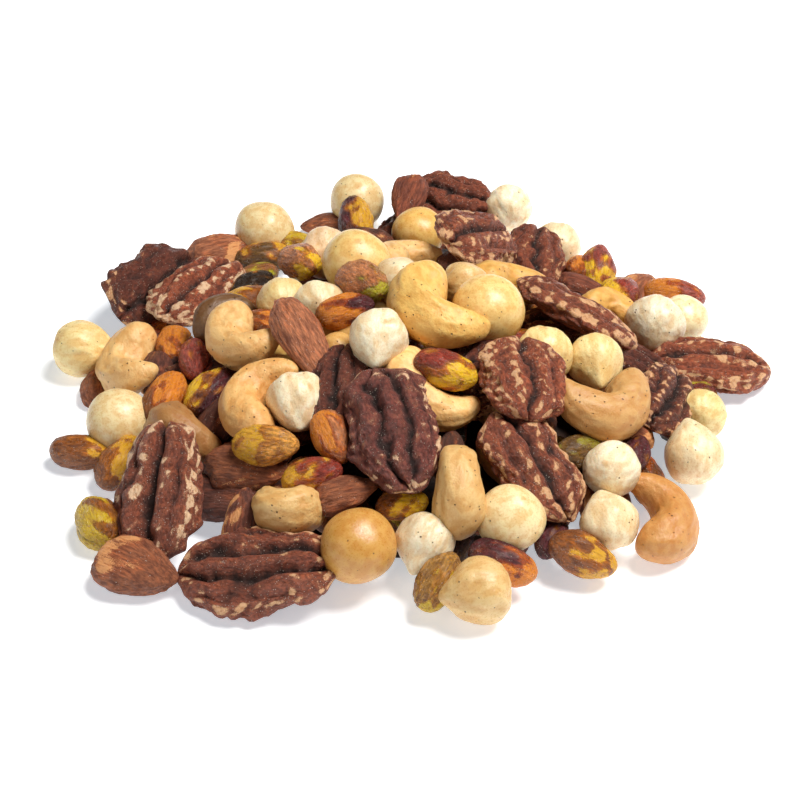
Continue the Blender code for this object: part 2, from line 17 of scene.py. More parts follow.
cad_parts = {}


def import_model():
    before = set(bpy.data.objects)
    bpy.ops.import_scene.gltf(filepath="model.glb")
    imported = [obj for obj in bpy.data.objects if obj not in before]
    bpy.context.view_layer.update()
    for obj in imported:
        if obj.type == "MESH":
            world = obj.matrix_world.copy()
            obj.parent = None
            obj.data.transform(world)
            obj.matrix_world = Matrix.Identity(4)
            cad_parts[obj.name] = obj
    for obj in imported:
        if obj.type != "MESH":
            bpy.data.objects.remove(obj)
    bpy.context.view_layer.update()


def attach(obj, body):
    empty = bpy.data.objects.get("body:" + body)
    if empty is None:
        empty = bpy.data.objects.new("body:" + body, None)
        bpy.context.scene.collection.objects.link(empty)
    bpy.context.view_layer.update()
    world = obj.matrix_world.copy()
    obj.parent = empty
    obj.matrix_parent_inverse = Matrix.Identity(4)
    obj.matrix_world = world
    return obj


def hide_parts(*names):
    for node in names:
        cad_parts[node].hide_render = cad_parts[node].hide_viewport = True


METRES_PER_MM = 0.001
HEAP = "nut_heap"

# The view of the picture: the pixel of the heap's middle, and where along a sight line the heap can be.
PICTURE_WIDTH = 800.0
MIDDLE_ACROSS = 405.0
MIDDLE_DOWN = 405.0
PIXELS_PER_MM = 4.15
VIEW_DISTANCE = 640.0
VIEW_ELEVATION = math.radians(37.0)
NEAREST_SIGHT = 480.0
FURTHEST_SIGHT = 864.0
SIGHT_STEP = 0.25
FORWARD = np.array([0.0, math.cos(VIEW_ELEVATION), -math.sin(VIEW_ELEVATION)])
RIGHT = np.array([1.0, 0.0, 0.0])
UP = np.cross(RIGHT, FORWARD)
EYE = -VIEW_DISTANCE * FORWARD
SENSOR_WIDTH = 36.0

# The bed that the outer nuts lie on. Its slope at a point is read from points this far to each side.
BED_RADIUS = 73.0
BED_HEIGHT = 25.0
BED_CENTRE = (2.0, -5.0)
BED_ROUNDNESS = 0.45
SLOPE_REACH = 2.0

# The mound of the fused solid, which holds the nuts that reach it.
MOUND_RADIUS = 69.0
MOUND_BUMPS = 3.0

# Half-way between the ends of the heap, seen from above, when its middle in the picture is at 0.
HEAP_MIDDLE = np.array([1.32, 2.25, 0.0])

# Length, width and thickness of a middling nut of each kind.
SIZES = {
    "pecan": (33.0, 19.0, 11.0),
    "cashew": (29.0, 21.0, 11.8),
    "almond": (22.0, 13.0, 8.5),
    "pistachio": (16.0, 9.6, 9.0),
    "hazelnut": (14.4, 14.0, 14.0),
    "macadamia": (16.5, 16.3, 16.0),
}
ROUND_KINDS = ("hazelnut", "macadamia")

# A cashew is a bow: half its angle, its half thickness against its half length, how much it thins
# towards one end, how blunt the ends are, and where its middle lies on the radius of the bow.
CASHEW_SPAN = math.radians(106.0)
CASHEW_LIMB = 0.38
CASHEW_TAPER = 0.32
CASHEW_BLUNTNESS = 3.5
CASHEW_MIDDLE = 0.5

# Nuts that touch are this much into each other.
BITE = 1.6

# How often and how fast nuts are moved apart, and how strongly each is drawn back to the bed.
ROUNDS = 70
PUSH = 0.25
LARGEST_STEP = 1.5
PULL = 0.08
NEIGHBOUR_REACH = 45.0
RIM_LOOSENESS = 0.25
RIM_BED_HEIGHT = 2.0

# Balls that stand in for a nut meanwhile: their number, how far out they go and how thick they are.
STAND_IN_BALLS = 6
STAND_IN_REACH = 0.66
CASHEW_STAND_IN_REACH = 0.85
STAND_IN_FULLNESS = {"pecan": 0.66, "almond": 0.85, "pistachio": 0.95}

# Two balls whose middles are further apart across the view than this share of their reach part in the
# direction that is nearer.
GLANCING = 0.72

# A ball is looked at in its middle and this far out on four sides, as a share of its radius.
LOOK_ASIDE = 0.8

# A nut that stands free is pushed against its nearest neighbour until it is this much into it. From this
# share of it on, nuts count as linked.
HOLD = 2.0
LINKED_SHARE = 0.9

# Sizes of the lower nuts that fill gaps.
FILLER_SIZES = (0.75, 0.95)

# The core under the nuts: how far it stays below the bed, its lumps, and how blunt its rim is.
CORE_RADIUS = 52.0
CORE_DEPTH = 7.0
CORE_LUMPS = 2.0
CORE_LUMP_SPAN = 9.0
CORE_BLUNTNESS = 0.4
CORE_SUBDIVISIONS = 5
CORE_SEED = 5

# How finely a nut in view is divided, round it and along it, and what share of that a filler has.
PECAN_FACETS = (80, 56)
LONG_FACETS = (56, 36)
BALL_SUBDIVISIONS = 5
FILLER_FINENESS = 0.5

# Skin and flesh colours of each kind, from 0 to 255, as they look in daylight, except the darkened copies
# that are painted shade for nuts in shadow: the cashew's dim, dusky and shaded, and the deep of the almond
# and the pistachio.
COLOURS = {
    "pecan": {
        "russet": (146, 78, 54), "red": (168, 88, 58), "dark": (112, 58, 42), "plum": (130, 70, 60),
        "tan": (234, 182, 134), "pale tan": (244, 204, 164),
    },
    "cashew": {
        "tan": (228, 180, 114), "golden": (232, 182, 98), "toast": (206, 144, 78),
        # dim, dusky and shaded: the cashew's tan darkened, painted shade for cashews that lie in shadow.
        "orange": (212, 154, 88), "pale": (230, 190, 126), "dim": (178, 130, 78),
        "bright": (240, 196, 112), "light": (244, 200, 134), "dusky": (204, 158, 98),
        "shaded": (112, 80, 48),
    },
    "almond": {
        "brown": (158, 94, 60), "red": (148, 80, 54), "dusky": (116, 66, 50), "rust": (190, 120, 82),
        # deep: a near-black skin, painted shade for an almond in shadow.
        "deep": (84, 46, 30), "tan": (230, 160, 98),
    },
    "pistachio": {
        "purple": (92, 36, 42), "maroon": (158, 60, 42), "umber": (152, 88, 34), "olive": (118, 84, 38),
        "khaki": (180, 132, 60), "yellow": (252, 200, 22), "mustard": (232, 172, 28),
        "orange": (232, 138, 28), "mauve": (176, 84, 70), "rosy": (206, 134, 84), "golden": (226, 162, 72),
        # deep: a near-black skin, painted shade for a pistachio in shadow.
        "deep": (52, 34, 16), "lime": (194, 182, 30), "mustard lime": (214, 176, 22),
        "green": (150, 138, 28),
    },
    "hazelnut": {
        "white": (251, 239, 208), "cream": (246, 229, 190), "yellow cream": (243, 221, 160),
        "pinkish": (240, 213, 176), "golden cream": (233, 199, 138), "tan": (214, 170, 100),
    },
    "macadamia": {
        "gold": (236, 204, 134), "amber gold": (228, 186, 108), "cream": (242, 221, 170),
        "pale": (248, 234, 192), "amber": (206, 156, 82), "tan": (208, 154, 78),
    },
}

# Flesh colours of the nuts that the picture does not show, the first also for those that show none.
FLESHES = {
    "pecan": ("tan", "pale tan"),
    "cashew": ("toast", "orange"),
    "almond": ("tan",),
    "pistachio": ("yellow", "mustard", "orange", "lime", "green"),
    "hazelnut": ("tan",),
    "macadamia": ("tan",),
}

# How far the skin covers a nut, how much of it wear takes off, and how much barer one side then is.
COVER = 0.9
FILLER_COVER = 0.4
WEAR = 1.8
LEAN = {"pecan": 0.2, "cashew": 0.5, "almond": 0.8, "pistachio": 0.9, "hazelnut": 0.5, "macadamia": 0.5}

# How bright the skin of a nut in view is, at random, and how much darker the skin of a filler is, as
# painted shade for the lower nuts in the gaps.
SHADES_IN_VIEW = (0.9, 1.06)
PAINTED_SHADES_BELOW = (0.5, 0.75)

# Each nut has its own stretch of the grain, up to this far off in millimetres.
GRAIN_REACH = 40.0

# The core's dark brown, flecked darker, which is painted shade for the shadowed nuts deep in the gaps; the
# table and the light that comes back from it.
CORE_PAINTED_SHADE = (58, 34, 22)
CORE_FLECK_PAINTED_SHADE = (24, 14, 10)
CORE_FLECKS_PER_METRE = 260.0
TABLE_SIZE = 8.0
TABLE_COLOUR = (250, 250, 252)
TABLE_MOTTLE = (254, 254, 255)
TABLE_MOTTLES_PER_METRE = 30.0
TABLE_GLOW = 0.48
TABLE_GLOW_COLOUR = (0.84, 0.92, 1.0, 1.0)

# Each light: where it comes from, its distance and width in metres, its watts and its colour.
LIGHTS = {
    "key": ((0.38, 0.0, 0.9), 0.9, 0.5, 11.8, (1.0, 0.985, 0.95)),
    "fill": ((-0.8, -0.8, 0.6), 1.1, 0.8, 2.1, (1.0, 0.98, 0.95)),
}
SKY_COLOUR = (1.0, 0.98, 0.96, 1.0)
SKY_STRENGTH = 0.05


class Fill(NamedTuple):
    """Lower nuts that fill gaps.

    tries is how many places are tried, in a ring round the middle, sink how far the nuts lie below the bed,
    overlap how far one may be into another, as a share of its balls, and hidden how much is out of view.
    """

    seed: int
    tries: int
    ring: tuple
    sink: float
    overlap: tuple
    hidden: float
    kinds: tuple


# Those round the mound, which are in the fused solid too.
RIM_FILL = Fill(
    seed=11, tries=2500, ring=(54.0, 84.0), sink=2.0, overlap=(0.1, 0.42), hidden=0.8,
    kinds=("pistachio", "almond", "almond", "pecan", "hazelnut"),
)

# More of them on the slopes that the picture does not show.
SLOPE_FILL = Fill(
    seed=23, tries=4000, ring=(0.0, 72.0), sink=1.0, overlap=(0.1, 0.42), hidden=0.97,
    kinds=("pistachio", "almond", "pecan", "hazelnut", "cashew", "almond", "pistachio"),
)

# And deep under the gaps between the others.
DEEP_FILL = Fill(
    seed=31, tries=2500, ring=(0.0, 68.0), sink=8.0, overlap=(0.0, 0.7), hidden=0.6,
    kinds=("almond", "pistachio", "pecan", "almond", "cashew"),
)


class Nut(NamedTuple):
    """One nut of the picture: the pixel of its middle, how it looks and how it lies.

    turn is the direction of its long axis in the picture, in degrees anticlockwise from the right. pitch
    raises the end of that axis off the heap, and roll turns the nut about it. stretch is for its length
    alone, and lift is how far it starts above the bed in millimetres. worn is the colour of its bare flesh,
    how bare it is, and which way the bare side faces in the picture.
    """

    kind: str
    across: float
    down: float
    skin: str
    turn: float = 0.0
    pitch: float = 0.0
    roll: float = 0.0
    size: float = 1.0
    stretch: float = 1.0
    lift: float = 0.0
    worn: tuple = ()
    form: str = ""


class Placed(NamedTuple):
    """A nut in the heap, with its axes as columns and the nut of the picture that it is, if any."""

    kind: str
    size: np.ndarray
    axes: np.ndarray
    centre: np.ndarray
    seen: Nut = None


# The nuts in view, the furthest first: each lies on, or in front of, those before it.
NUTS_IN_VIEW = (
    # Far edge
    Nut("almond", 326, 225, "brown", 184, size=0.62),
    Nut("macadamia", 259, 230, "cream", 90, size=0.95),
    Nut("macadamia", 360, 191, "cream", 100, size=0.88),
    Nut("hazelnut", 523, 210, "white", 100, size=0.88),
    Nut("hazelnut", 557, 245, "cream", 60, size=0.92),
    Nut("pistachio", 581, 271, "umber", 80, size=0.9, worn=("orange", 0.3, 90)),
    Nut("pistachio", 598, 269, "mauve", 85, 25, size=0.9, lift=2, worn=("yellow", 0.5, 250)),
    Nut("pistachio", 624, 289, "maroon", 15, size=0.9, lift=2, worn=("yellow", 0.45, 180)),
    Nut("pistachio", 674, 296, "mauve", -6, worn=("orange", 0.5, 180)),
    Nut("macadamia", 696, 321, "pale", size=0.76),
    Nut("hazelnut", 655, 324, "white", 70, size=1.03),
    Nut("almond", 577, 287, "red", -20, size=0.62),
    Nut("almond", 217, 252, "rust", 18, roll=20, size=0.85, worn=("tan", 0.25, 0)),
    Nut("pistachio", 291, 247, "khaki", 170, size=0.9, worn=("mustard lime", 0.25, 90)),
    Nut("pistachio", 258, 258, "olive", 10, size=0.95, worn=("mustard", 0.05, 90)),
    Nut("pecan", 147, 287, "dark", 45, roll=35, size=1.05, stretch=0.88, worn=("tan", 0.12, 230)),
    # Far slope
    Nut("almond", 344, 243, "dusky", 20, size=0.8),
    Nut("pecan", 394, 228, "dark", 50, size=0.55),
    Nut("pistachio", 352, 217, "purple", 100, 20, size=0.98, lift=2, worn=("mustard", 0.5, 0)),
    Nut("almond", 403, 195, "red", 245, -15, size=0.7, lift=8),
    Nut("almond", 468, 263, "dusky", 10, size=0.8),
    Nut("pecan", 450, 201, "russet", -12, roll=30, size=0.85, stretch=0.88,
        worn=("tan", 0.1, 225), form="twin"),
    Nut("pecan", 535, 259, "russet", 100, 30, size=0.8, stretch=0.9, worn=("tan", 0.2, 300)),
    Nut("macadamia", 418, 233, "amber gold", 80, size=0.84),
    Nut("pecan", 476, 241, "russet", 12, roll=35, size=0.98, stretch=0.8, worn=("tan", 0.4, 270)),
    Nut("hazelnut", 326, 253, "pinkish", 90, size=0.92),
    Nut("pistachio", 291, 268, "rosy", -20, lift=1, worn=("yellow", 0.45, 330)),
    Nut("cashew", 407, 260, "pale", 20, size=0.78),
    Nut("macadamia", 356, 263, "gold"),
    Nut("hazelnut", 398, 281, "cream", size=0.85),
    Nut("pistachio", 252, 286, "deep", 30, size=0.8),
    Nut("cashew", 226, 318, "shaded", 30, roll=60, size=0.62),
    Nut("pistachio", 246, 303, "umber", 20, size=0.9, worn=("mustard", 0.3, 180)),
    Nut("almond", 174, 302, "dusky", 45, size=0.8),
    Nut("pecan", 199, 292, "red", 40, roll=25, size=0.95, stretch=0.95, lift=3,
        worn=("pale tan", 0.45, 300)),
    Nut("hazelnut", 283, 303, "yellow cream", 90, size=0.9),
    Nut("hazelnut", 319, 307, "cream", 90, size=0.92),
    Nut("pistachio", 363, 283, "rosy", -25, size=1.1, worn=("lime", 0.3, 320)),
    Nut("pistachio", 345, 311, "purple", 15, size=0.9, worn=("orange", 0.55, 210)),
    # Right flank
    Nut("cashew", 513, 287, "golden", -8, size=0.85),
    Nut("hazelnut", 464, 285, "golden cream", size=0.8),
    Nut("macadamia", 488, 311, "gold", size=1.05),
    Nut("cashew", 612, 312, "golden", -20, size=0.62),
    Nut("pecan", 577, 315, "russet", -31, roll=-15, size=0.88, stretch=1.15, worn=("tan", 0.3, 30)),
    Nut("pecan", 634, 360, "dark", -30, size=0.6),
    Nut("cashew", 440, 309, "bright", -46, roll=180, size=1.08, lift=2),
    Nut("pecan", 711, 366, "red", -6, size=0.92, stretch=0.98, worn=("tan", 0.3, 45)),
    Nut("hazelnut", 544, 354, "yellow cream", 100, size=0.95),
    Nut("hazelnut", 703, 413, "yellow cream", 40, size=0.85),
    Nut("almond", 625, 432, "brown", 160, size=0.65, worn=("tan", 0.3, 0)),
    Nut("pecan", 664, 400, "dark", 54, roll=10, size=0.8, stretch=0.95, worn=("tan", 0.3, 45)),
    Nut("hazelnut", 595, 362, "yellow cream", -80, size=0.96),
    Nut("cashew", 601, 401, "dusky", 184, size=0.98),
    Nut("hazelnut", 694, 457, "cream", 110, 20),
    # Left flank
    Nut("pistachio", 266, 324, "umber", size=0.8, worn=("orange", 0.5, 0)),
    Nut("cashew", 245, 337, "light", -35, roll=180, size=0.88),
    Nut("hazelnut", 66, 337, "yellow cream"),
    Nut("pistachio", 174, 347, "umber", -85, size=0.95, worn=("orange", 0.4, 90)),
    Nut("pistachio", 196, 361, "mauve", -78, size=0.9),
    Nut("almond", 156, 366, "dusky", 90, size=0.65),
    Nut("cashew", 130, 364, "light", -75, roll=180, size=0.95),
    Nut("almond", 89, 388, "brown", 100, size=0.68),
    Nut("pistachio", 165, 398, "umber", 63, worn=("orange", 0.5, 30)),
    Nut("almond", 223, 416, "dusky", 60, size=0.75),
    Nut("pistachio", 208, 392, "purple", 50, size=0.92, worn=("yellow", 0.25, 160)),
    Nut("macadamia", 108, 421, "cream", 20, size=0.94),
    Nut("cashew", 185, 435, "dim", -32, roll=120, size=0.92, stretch=0.85),
    Nut("pistachio", 75, 457, "umber", -4, size=0.92, worn=("mustard", 0.2, 0)),
    Nut("pistachio", 123, 469, "umber", 57, size=0.97, worn=("mustard", 0.45, 30)),
    Nut("pistachio", 96, 519, "umber", 120, size=1.12, stretch=0.9, worn=("mustard lime", 0.6, 190)),
    # Middle
    Nut("cashew", 261, 398, "tan", 68, size=0.92),
    Nut("hazelnut", 338, 352, "tan", size=0.66),
    Nut("pecan", 337, 388, "dark", 80, size=0.75),
    Nut("hazelnut", 380, 338, "white", -95, size=0.98, lift=2),
    Nut("almond", 305, 343, "rust", -53, -25, size=0.76, stretch=1.6, lift=3),
    Nut("pecan", 478, 366, "dark", 30, size=0.6),
    Nut("pecan", 472, 404, "russet", 20, size=0.42, worn=("tan", 0.5, 0)),
    Nut("cashew", 432, 393, "light", -38, roll=180, size=0.92, lift=1),
    Nut("pistachio", 446, 370, "maroon", -20, size=0.95, worn=("yellow", 0.4, 315)),
    Nut("hazelnut", 297, 401, "white", -85, size=0.98),
    Nut("pecan", 524, 380, "red", -86, stretch=0.72, worn=("tan", 0.3, 100)),
    # Lower edge
    Nut("almond", 232, 496, "dusky", size=0.95),
    Nut("almond", 246, 469, "brown", -5, size=0.92, worn=("tan", 0.08, 300)),
    Nut("almond", 237, 518, "dusky", 75, 20, size=0.65, worn=("tan", 0.2, 180)),
    Nut("cashew", 285, 508, "pale", 168, roll=50, size=0.82, stretch=0.78),
    Nut("pistachio", 266, 445, "golden", worn=("mustard", 0.35, 180)),
    Nut("almond", 345, 493, "brown", 15, size=0.66),
    Nut("pistachio", 312, 476, "maroon", 15, size=0.88, worn=("mustard", 0.35, 200)),
    Nut("pistachio", 332, 437, "rosy", -65, size=0.93, worn=("orange", 0.5, 180)),
    Nut("pistachio", 402, 504, "umber", 10, size=0.75, worn=("yellow", 0.5, 0)),
    Nut("almond", 446, 453, "deep", 80, size=0.6),
    Nut("cashew", 459, 487, "pale", 84, roll=80, size=0.85),
    Nut("pistachio", 578, 453, "olive", 10, size=0.85, worn=("green", 0.2, 60)),
    Nut("pistachio", 636, 454, "purple", 60, size=0.7),
    Nut("pistachio", 552, 538, "purple", 60, size=0.7),
    Nut("hazelnut", 612, 469, "white", 60, size=0.93),
    Nut("hazelnut", 609, 523, "cream", 100, size=0.94),
    Nut("cashew", 670, 516, "orange", 96, roll=180, size=0.92),
    Nut("macadamia", 510, 518, "cream", size=0.92),
    Nut("pecan", 533, 466, "russet", -57, size=0.92, worn=("tan", 0.35, 320)),
    Nut("macadamia", 358, 546, "amber", 30, size=1.02),
    Nut("pecan", 393, 431, "plum", -73, worn=("pale tan", 0.15, 60), form="twin"),
    Nut("pistachio", 438, 581, "khaki", 60, size=0.95, worn=("mustard lime", 0.3, 270)),
    Nut("hazelnut", 425, 541, "white", -112, size=0.94),
    Nut("pistachio", 503, 563, "purple", -22, worn=("orange", 0.45, 300)),
    Nut("hazelnut", 480, 591, "golden cream", 190, size=1.04),
    Nut("pistachio", 583, 555, "umber", -25, worn=("mustard", 0.35, 330)),
    Nut("pecan", 161, 491, "russet", 80, 12, size=1.05, worn=("pale tan", 0.24, 70)),
    Nut("almond", 137, 569, "brown", -20, size=1.2, stretch=0.75, worn=("tan", 0.03, 140)),
    Nut("pecan", 256, 572, "russet", 3, size=1.08, worn=("tan", 0.28, 80), form="twin"),
)


def bed_height(x, y):
    """Height over the table of the surface that the outer nuts lie on."""
    reach = np.hypot(x - BED_CENTRE[0], y - BED_CENTRE[1]) / BED_RADIUS
    fall = np.sqrt(reach**2 + BED_ROUNDNESS**2) - BED_ROUNDNESS
    whole_fall = math.hypot(1.0, BED_ROUNDNESS) - BED_ROUNDNESS
    return BED_HEIGHT * np.clip(1.0 - fall / whole_fall, 0.0, None)


def bed_normal(x, y):
    """Upward normal of the bed, which is straight up beside it."""
    rise_x = bed_height(x + SLOPE_REACH, y) - bed_height(x - SLOPE_REACH, y)
    rise_y = bed_height(x, y + SLOPE_REACH) - bed_height(x, y - SLOPE_REACH)
    normal = np.array([-rise_x, -rise_y, 2.0 * SLOPE_REACH])
    return normal / np.linalg.norm(normal)


def sight_line(across, down):
    """Unit direction from the eye through one pixel of the picture."""
    scale = PIXELS_PER_MM * VIEW_DISTANCE
    ray = FORWARD + (across - MIDDLE_ACROSS) / scale * RIGHT + (MIDDLE_DOWN - down) / scale * UP
    return ray / np.linalg.norm(ray)


def sight_to_bed(ray, lift):
    """How far along a ray a point comes down to this lift above the bed."""
    steps = np.arange(NEAREST_SIGHT, FURTHEST_SIGHT, SIGHT_STEP)
    points = EYE + steps[:, None] * ray
    under = points[:, 2] <= bed_height(points[:, 0], points[:, 1]) + lift
    return steps[np.argmax(under)]


def axes_on(normal, heading, pitch=0.0, roll=0.0):
    """Axes of a nut that lies on a surface with this normal and heads along the surface."""
    along = heading - (heading @ normal) * normal
    along /= np.linalg.norm(along)
    side = np.cross(normal, along)
    pitch, roll = math.radians(pitch), math.radians(roll)
    long_axis = math.cos(pitch) * along + math.sin(pitch) * normal
    top = np.cross(long_axis, side)
    return np.column_stack([
        long_axis,
        math.cos(roll) * side + math.sin(roll) * top,
        math.cos(roll) * top - math.sin(roll) * side,
    ])


def direction_seen(degrees):
    """The direction in space of one in the picture, given in degrees anticlockwise from the right."""
    angle = math.radians(degrees)
    return math.cos(angle) * RIGHT + math.sin(angle) * UP


def heading_seen(normal, turn):
    """The direction along a surface that shows in the picture as this turn."""
    seen = direction_seen(turn)
    return seen - (seen @ normal) / (FORWARD @ normal) * FORWARD


def half_sizes(kind):
    """Half the length, width and thickness of a middling nut of a kind."""
    return 0.5 * np.array(SIZES[kind])


def cashew_bow(along):
    """The middle line of a cashew from -1 to 1: angle, bow radius and half thickness of the limb."""
    half_length = half_sizes("cashew")[0]
    full_limb = CASHEW_LIMB * half_length
    blunt = np.sqrt(np.clip(1.0 - np.abs(along) ** CASHEW_BLUNTNESS, 0.0, None))
    limb = full_limb * (1.0 - CASHEW_TAPER * along) * blunt
    return CASHEW_SPAN * along, half_length - full_limb, limb


def size_along_axes(size, stretch=1.0):
    """Size of a nut along its length, width and thickness."""
    return size * np.array([stretch, 1.0, 1.0])


def stand_in(kind, size, axes):
    """Balls that stand in for a nut while it is put in place: rows of x, y, z and radius."""
    length, width, thickness = size * half_sizes(kind)
    if kind == "cashew":
        along = np.linspace(-CASHEW_STAND_IN_REACH, CASHEW_STAND_IN_REACH, STAND_IN_BALLS)
        angle, bow, limb = cashew_bow(along)
        forward, out = bow * np.sin(angle), bow * (np.cos(angle) - CASHEW_MIDDLE)
        rows = np.column_stack([size[0] * forward, size[1] * out, 0.0 * along, size[2] * limb])
    elif kind in ROUND_KINDS:
        rows = np.tile([0.0, 0.0, 0.0, width], (STAND_IN_BALLS, 1))
    else:
        along = np.repeat(np.linspace(-STAND_IN_REACH, STAND_IN_REACH, STAND_IN_BALLS // 2), 2)
        half_width = width * np.sqrt(1.0 - along**2)
        radius = np.minimum(STAND_IN_FULLNESS[kind] * thickness, half_width)
        side = np.tile([-1.0, 1.0], STAND_IN_BALLS // 2)
        rows = np.column_stack([length * along, side * (half_width - radius), 0.0 * along, radius])
    rows[:, :3] = rows[:, :3] @ axes.T
    return rows


def partings(front, back, rays):
    """How far pairs of nuts have to part along the front one's ray so that they only touch."""
    gaps = front[:, :, None, :3] - back[:, None, :, :3]
    reach = front[:, :, None, 3] + back[:, None, :, 3] - BITE
    along = np.einsum("pijk,pk->pij", gaps, rays)
    beside = (gaps**2).sum(3) - along**2
    need = np.sqrt(np.clip(reach**2 - beside, 0.0, None))
    passed = (beside > (GLANCING * reach) ** 2) & (along > 0.0)
    parting = np.where(passed, along - need, along + need)
    parting = np.where(along**2 + beside < reach**2, parting, 0.0).reshape(len(front), -1)
    worst = np.argmax(np.abs(parting), axis=1)
    return parting[np.arange(len(front)), worst]


def settle():
    """Put every nut of the picture in its place, each in front of those before it in the list."""
    rays = np.array([sight_line(nut.across, nut.down) for nut in NUTS_IN_VIEW])
    axes, homes, balls = [], [], []
    for nut, ray in zip(NUTS_IN_VIEW, rays):
        ground = EYE + sight_to_bed(ray, 0.5 * SIZES[nut.kind][2]) * ray
        normal = bed_normal(ground[0], ground[1])
        axes.append(axes_on(normal, heading_seen(normal, nut.turn), nut.pitch, nut.roll))
        balls.append(stand_in(nut.kind, size_along_axes(nut.size, nut.stretch), axes[-1]))
        depth = np.max(balls[-1][:, 3] - balls[-1][:, 2])
        homes.append(sight_to_bed(ray, depth + nut.lift))
    balls, homes = np.array(balls), np.array(homes)
    centres = EYE + homes[:, None] * rays
    looseness = np.where(bed_height(centres[:, 0], centres[:, 1]) > RIM_BED_HEIGHT, 1.0, RIM_LOOSENESS)
    far, near = np.triu_indices(len(homes), 1)
    close = np.linalg.norm(centres[far] - centres[near], axis=1) < NEIGHBOUR_REACH
    far, near = far[close], near[close]
    shifts = np.zeros(len(homes))
    for _ in range(ROUNDS):
        centres = EYE + (homes + shifts)[:, None] * rays
        placed = balls.copy()
        placed[:, :, :3] += centres[:, None]
        push = PUSH * partings(placed[near], placed[far], rays[near])
        step = np.bincount(far, push, len(homes)) - np.bincount(near, push, len(homes))
        shifts += np.clip(looseness * step, -LARGEST_STEP, LARGEST_STEP) - PULL * shifts
        lowest = np.min(placed[:, :, 2] - placed[:, :, 3], axis=1)
        shifts += np.clip(lowest, None, 0.0) / np.abs(rays[:, 2])
    centres = EYE + (homes + shifts)[:, None] * rays
    return [
        Placed(nut.kind, size_along_axes(nut.size, nut.stretch), own_axes, centre, nut)
        for nut, own_axes, centre in zip(NUTS_IN_VIEW, axes, centres)
    ]


def placed_balls(nut):
    """The stand-in balls of a nut in its place."""
    return stand_in(nut.kind, nut.size, nut.axes) + np.append(nut.centre, 0.0)


def share_hidden(balls, screen):
    """Share of some balls that the screening balls hide from the eye."""
    sides = LOOK_ASIDE * np.array([0.0 * UP, UP, -UP, RIGHT, -RIGHT])
    rays = (balls[:, None, :3] + balls[:, None, 3:] * sides).reshape(-1, 3) - EYE
    reach = np.linalg.norm(rays, axis=1)
    rays /= reach[:, None]
    along = (screen[:, :3] - EYE) @ rays.T
    beside = np.sqrt(((screen[:, :3] - EYE) ** 2).sum(1)[:, None] - along**2)
    return np.mean(((beside < screen[:, 3:]) & (along < reach)).any(axis=0))


def filler_at(chance, fill):
    """A low nut of a chance kind at a chance place on the heap."""
    reach = math.sqrt(chance.uniform(fill.ring[0] ** 2, fill.ring[1] ** 2))
    bearing = chance.uniform(0.0, 2.0 * math.pi)
    x, y = BED_CENTRE[0] + reach * math.cos(bearing), BED_CENTRE[1] + reach * math.sin(bearing)
    kind, size = chance.choice(fill.kinds), size_along_axes(chance.uniform(*FILLER_SIZES))
    turn = chance.uniform(0.0, 2.0 * math.pi)
    axes = axes_on(bed_normal(x, y), np.array([math.cos(turn), math.sin(turn), 0.0]))
    own = stand_in(kind, size, axes)
    sunk = max(bed_height(x, y) - fill.sink, 0.0)
    return Placed(kind, size, axes, np.array([x, y, sunk + np.max(own[:, 3] - own[:, 2])]))


def fill_between(others, fill):
    """Lower nuts that fill the gaps behind and between others, each touching another."""
    chance = random.Random(fill.seed)
    screen = np.concatenate([placed_balls(nut) for nut in others])
    balls, found = screen, []
    for _ in range(fill.tries):
        nut = filler_at(chance, fill)
        own = placed_balls(nut)
        apart = np.linalg.norm(own[:, None, :3] - balls[None, :, :3], axis=2)
        overlap = np.max((own[:, None, 3] + balls[None, :, 3] - apart) / own[:, None, 3])
        if fill.overlap[0] < overlap < fill.overlap[1] and share_hidden(own, screen) > fill.hidden:
            found.append(nut)
            balls = np.concatenate([balls, own])
    return found


def held_nuts(balls, linked):
    """Which nuts the mound holds, by itself or by way of others."""
    mound_top = bed_height(balls[:, :, 0], balls[:, :, 1]) + MOUND_BUMPS
    beside = np.hypot(balls[:, :, 0] - BED_CENTRE[0], balls[:, :, 1] - BED_CENTRE[1])
    sunk = balls[:, :, 2] - balls[:, :, 3] < mound_top - HOLD
    return together(linked, (sunk & (beside < MOUND_RADIUS - HOLD)).any(axis=1))


def together(linked, group):
    """A group of nuts with all those that are linked to it, one by way of another."""
    while (linked[:, group].any(axis=1) & ~group).any():
        group = group | linked[:, group].any(axis=1)
    return group


def against_the_heap(nuts):
    """Push nuts that stand free along the table until each touches one that the mound holds."""
    for _ in nuts:
        balls = np.array([placed_balls(nut) for nut in nuts])
        one, other = balls[:, None, :, None], balls[None, :, None, :]
        gap = one[..., :3] - other[..., :3]
        reach = one[..., 3] + other[..., 3]
        linked = (reach - np.linalg.norm(gap, axis=-1) > LINKED_SHARE * HOLD).any(axis=(2, 3))
        held = held_nuts(balls, linked)
        if held.all():
            break
        level = (reach - HOLD) ** 2 - gap[..., 2] ** 2
        move = np.linalg.norm(gap[..., :2], axis=-1) - np.sqrt(np.clip(level, 0.0, None))
        move[level < 0.0] = np.inf
        move[held] = np.inf
        move[:, ~held] = np.inf
        free, near, i, j = np.unravel_index(np.argmin(move), move.shape)
        way = -gap[free, near, i, j, :2] / np.linalg.norm(gap[free, near, i, j, :2])
        shift = np.append(move[free, near, i, j] * way, 0.0)
        group = together(linked, np.arange(len(nuts)) == free)
        nuts = [
            nut._replace(centre=nut.centre + shift) if moves else nut for nut, moves in zip(nuts, group)
        ]
    return nuts


def srgb(colour):
    """Linear colour, with an alpha of 1, of one that is given from 0 to 255 as it looks."""
    share = np.array(colour) / 255.0
    linear = np.where(share <= 0.04045, share / 12.92, ((share + 0.055) / 1.055) ** 2.4)
    return (*linear.tolist(), 1.0)


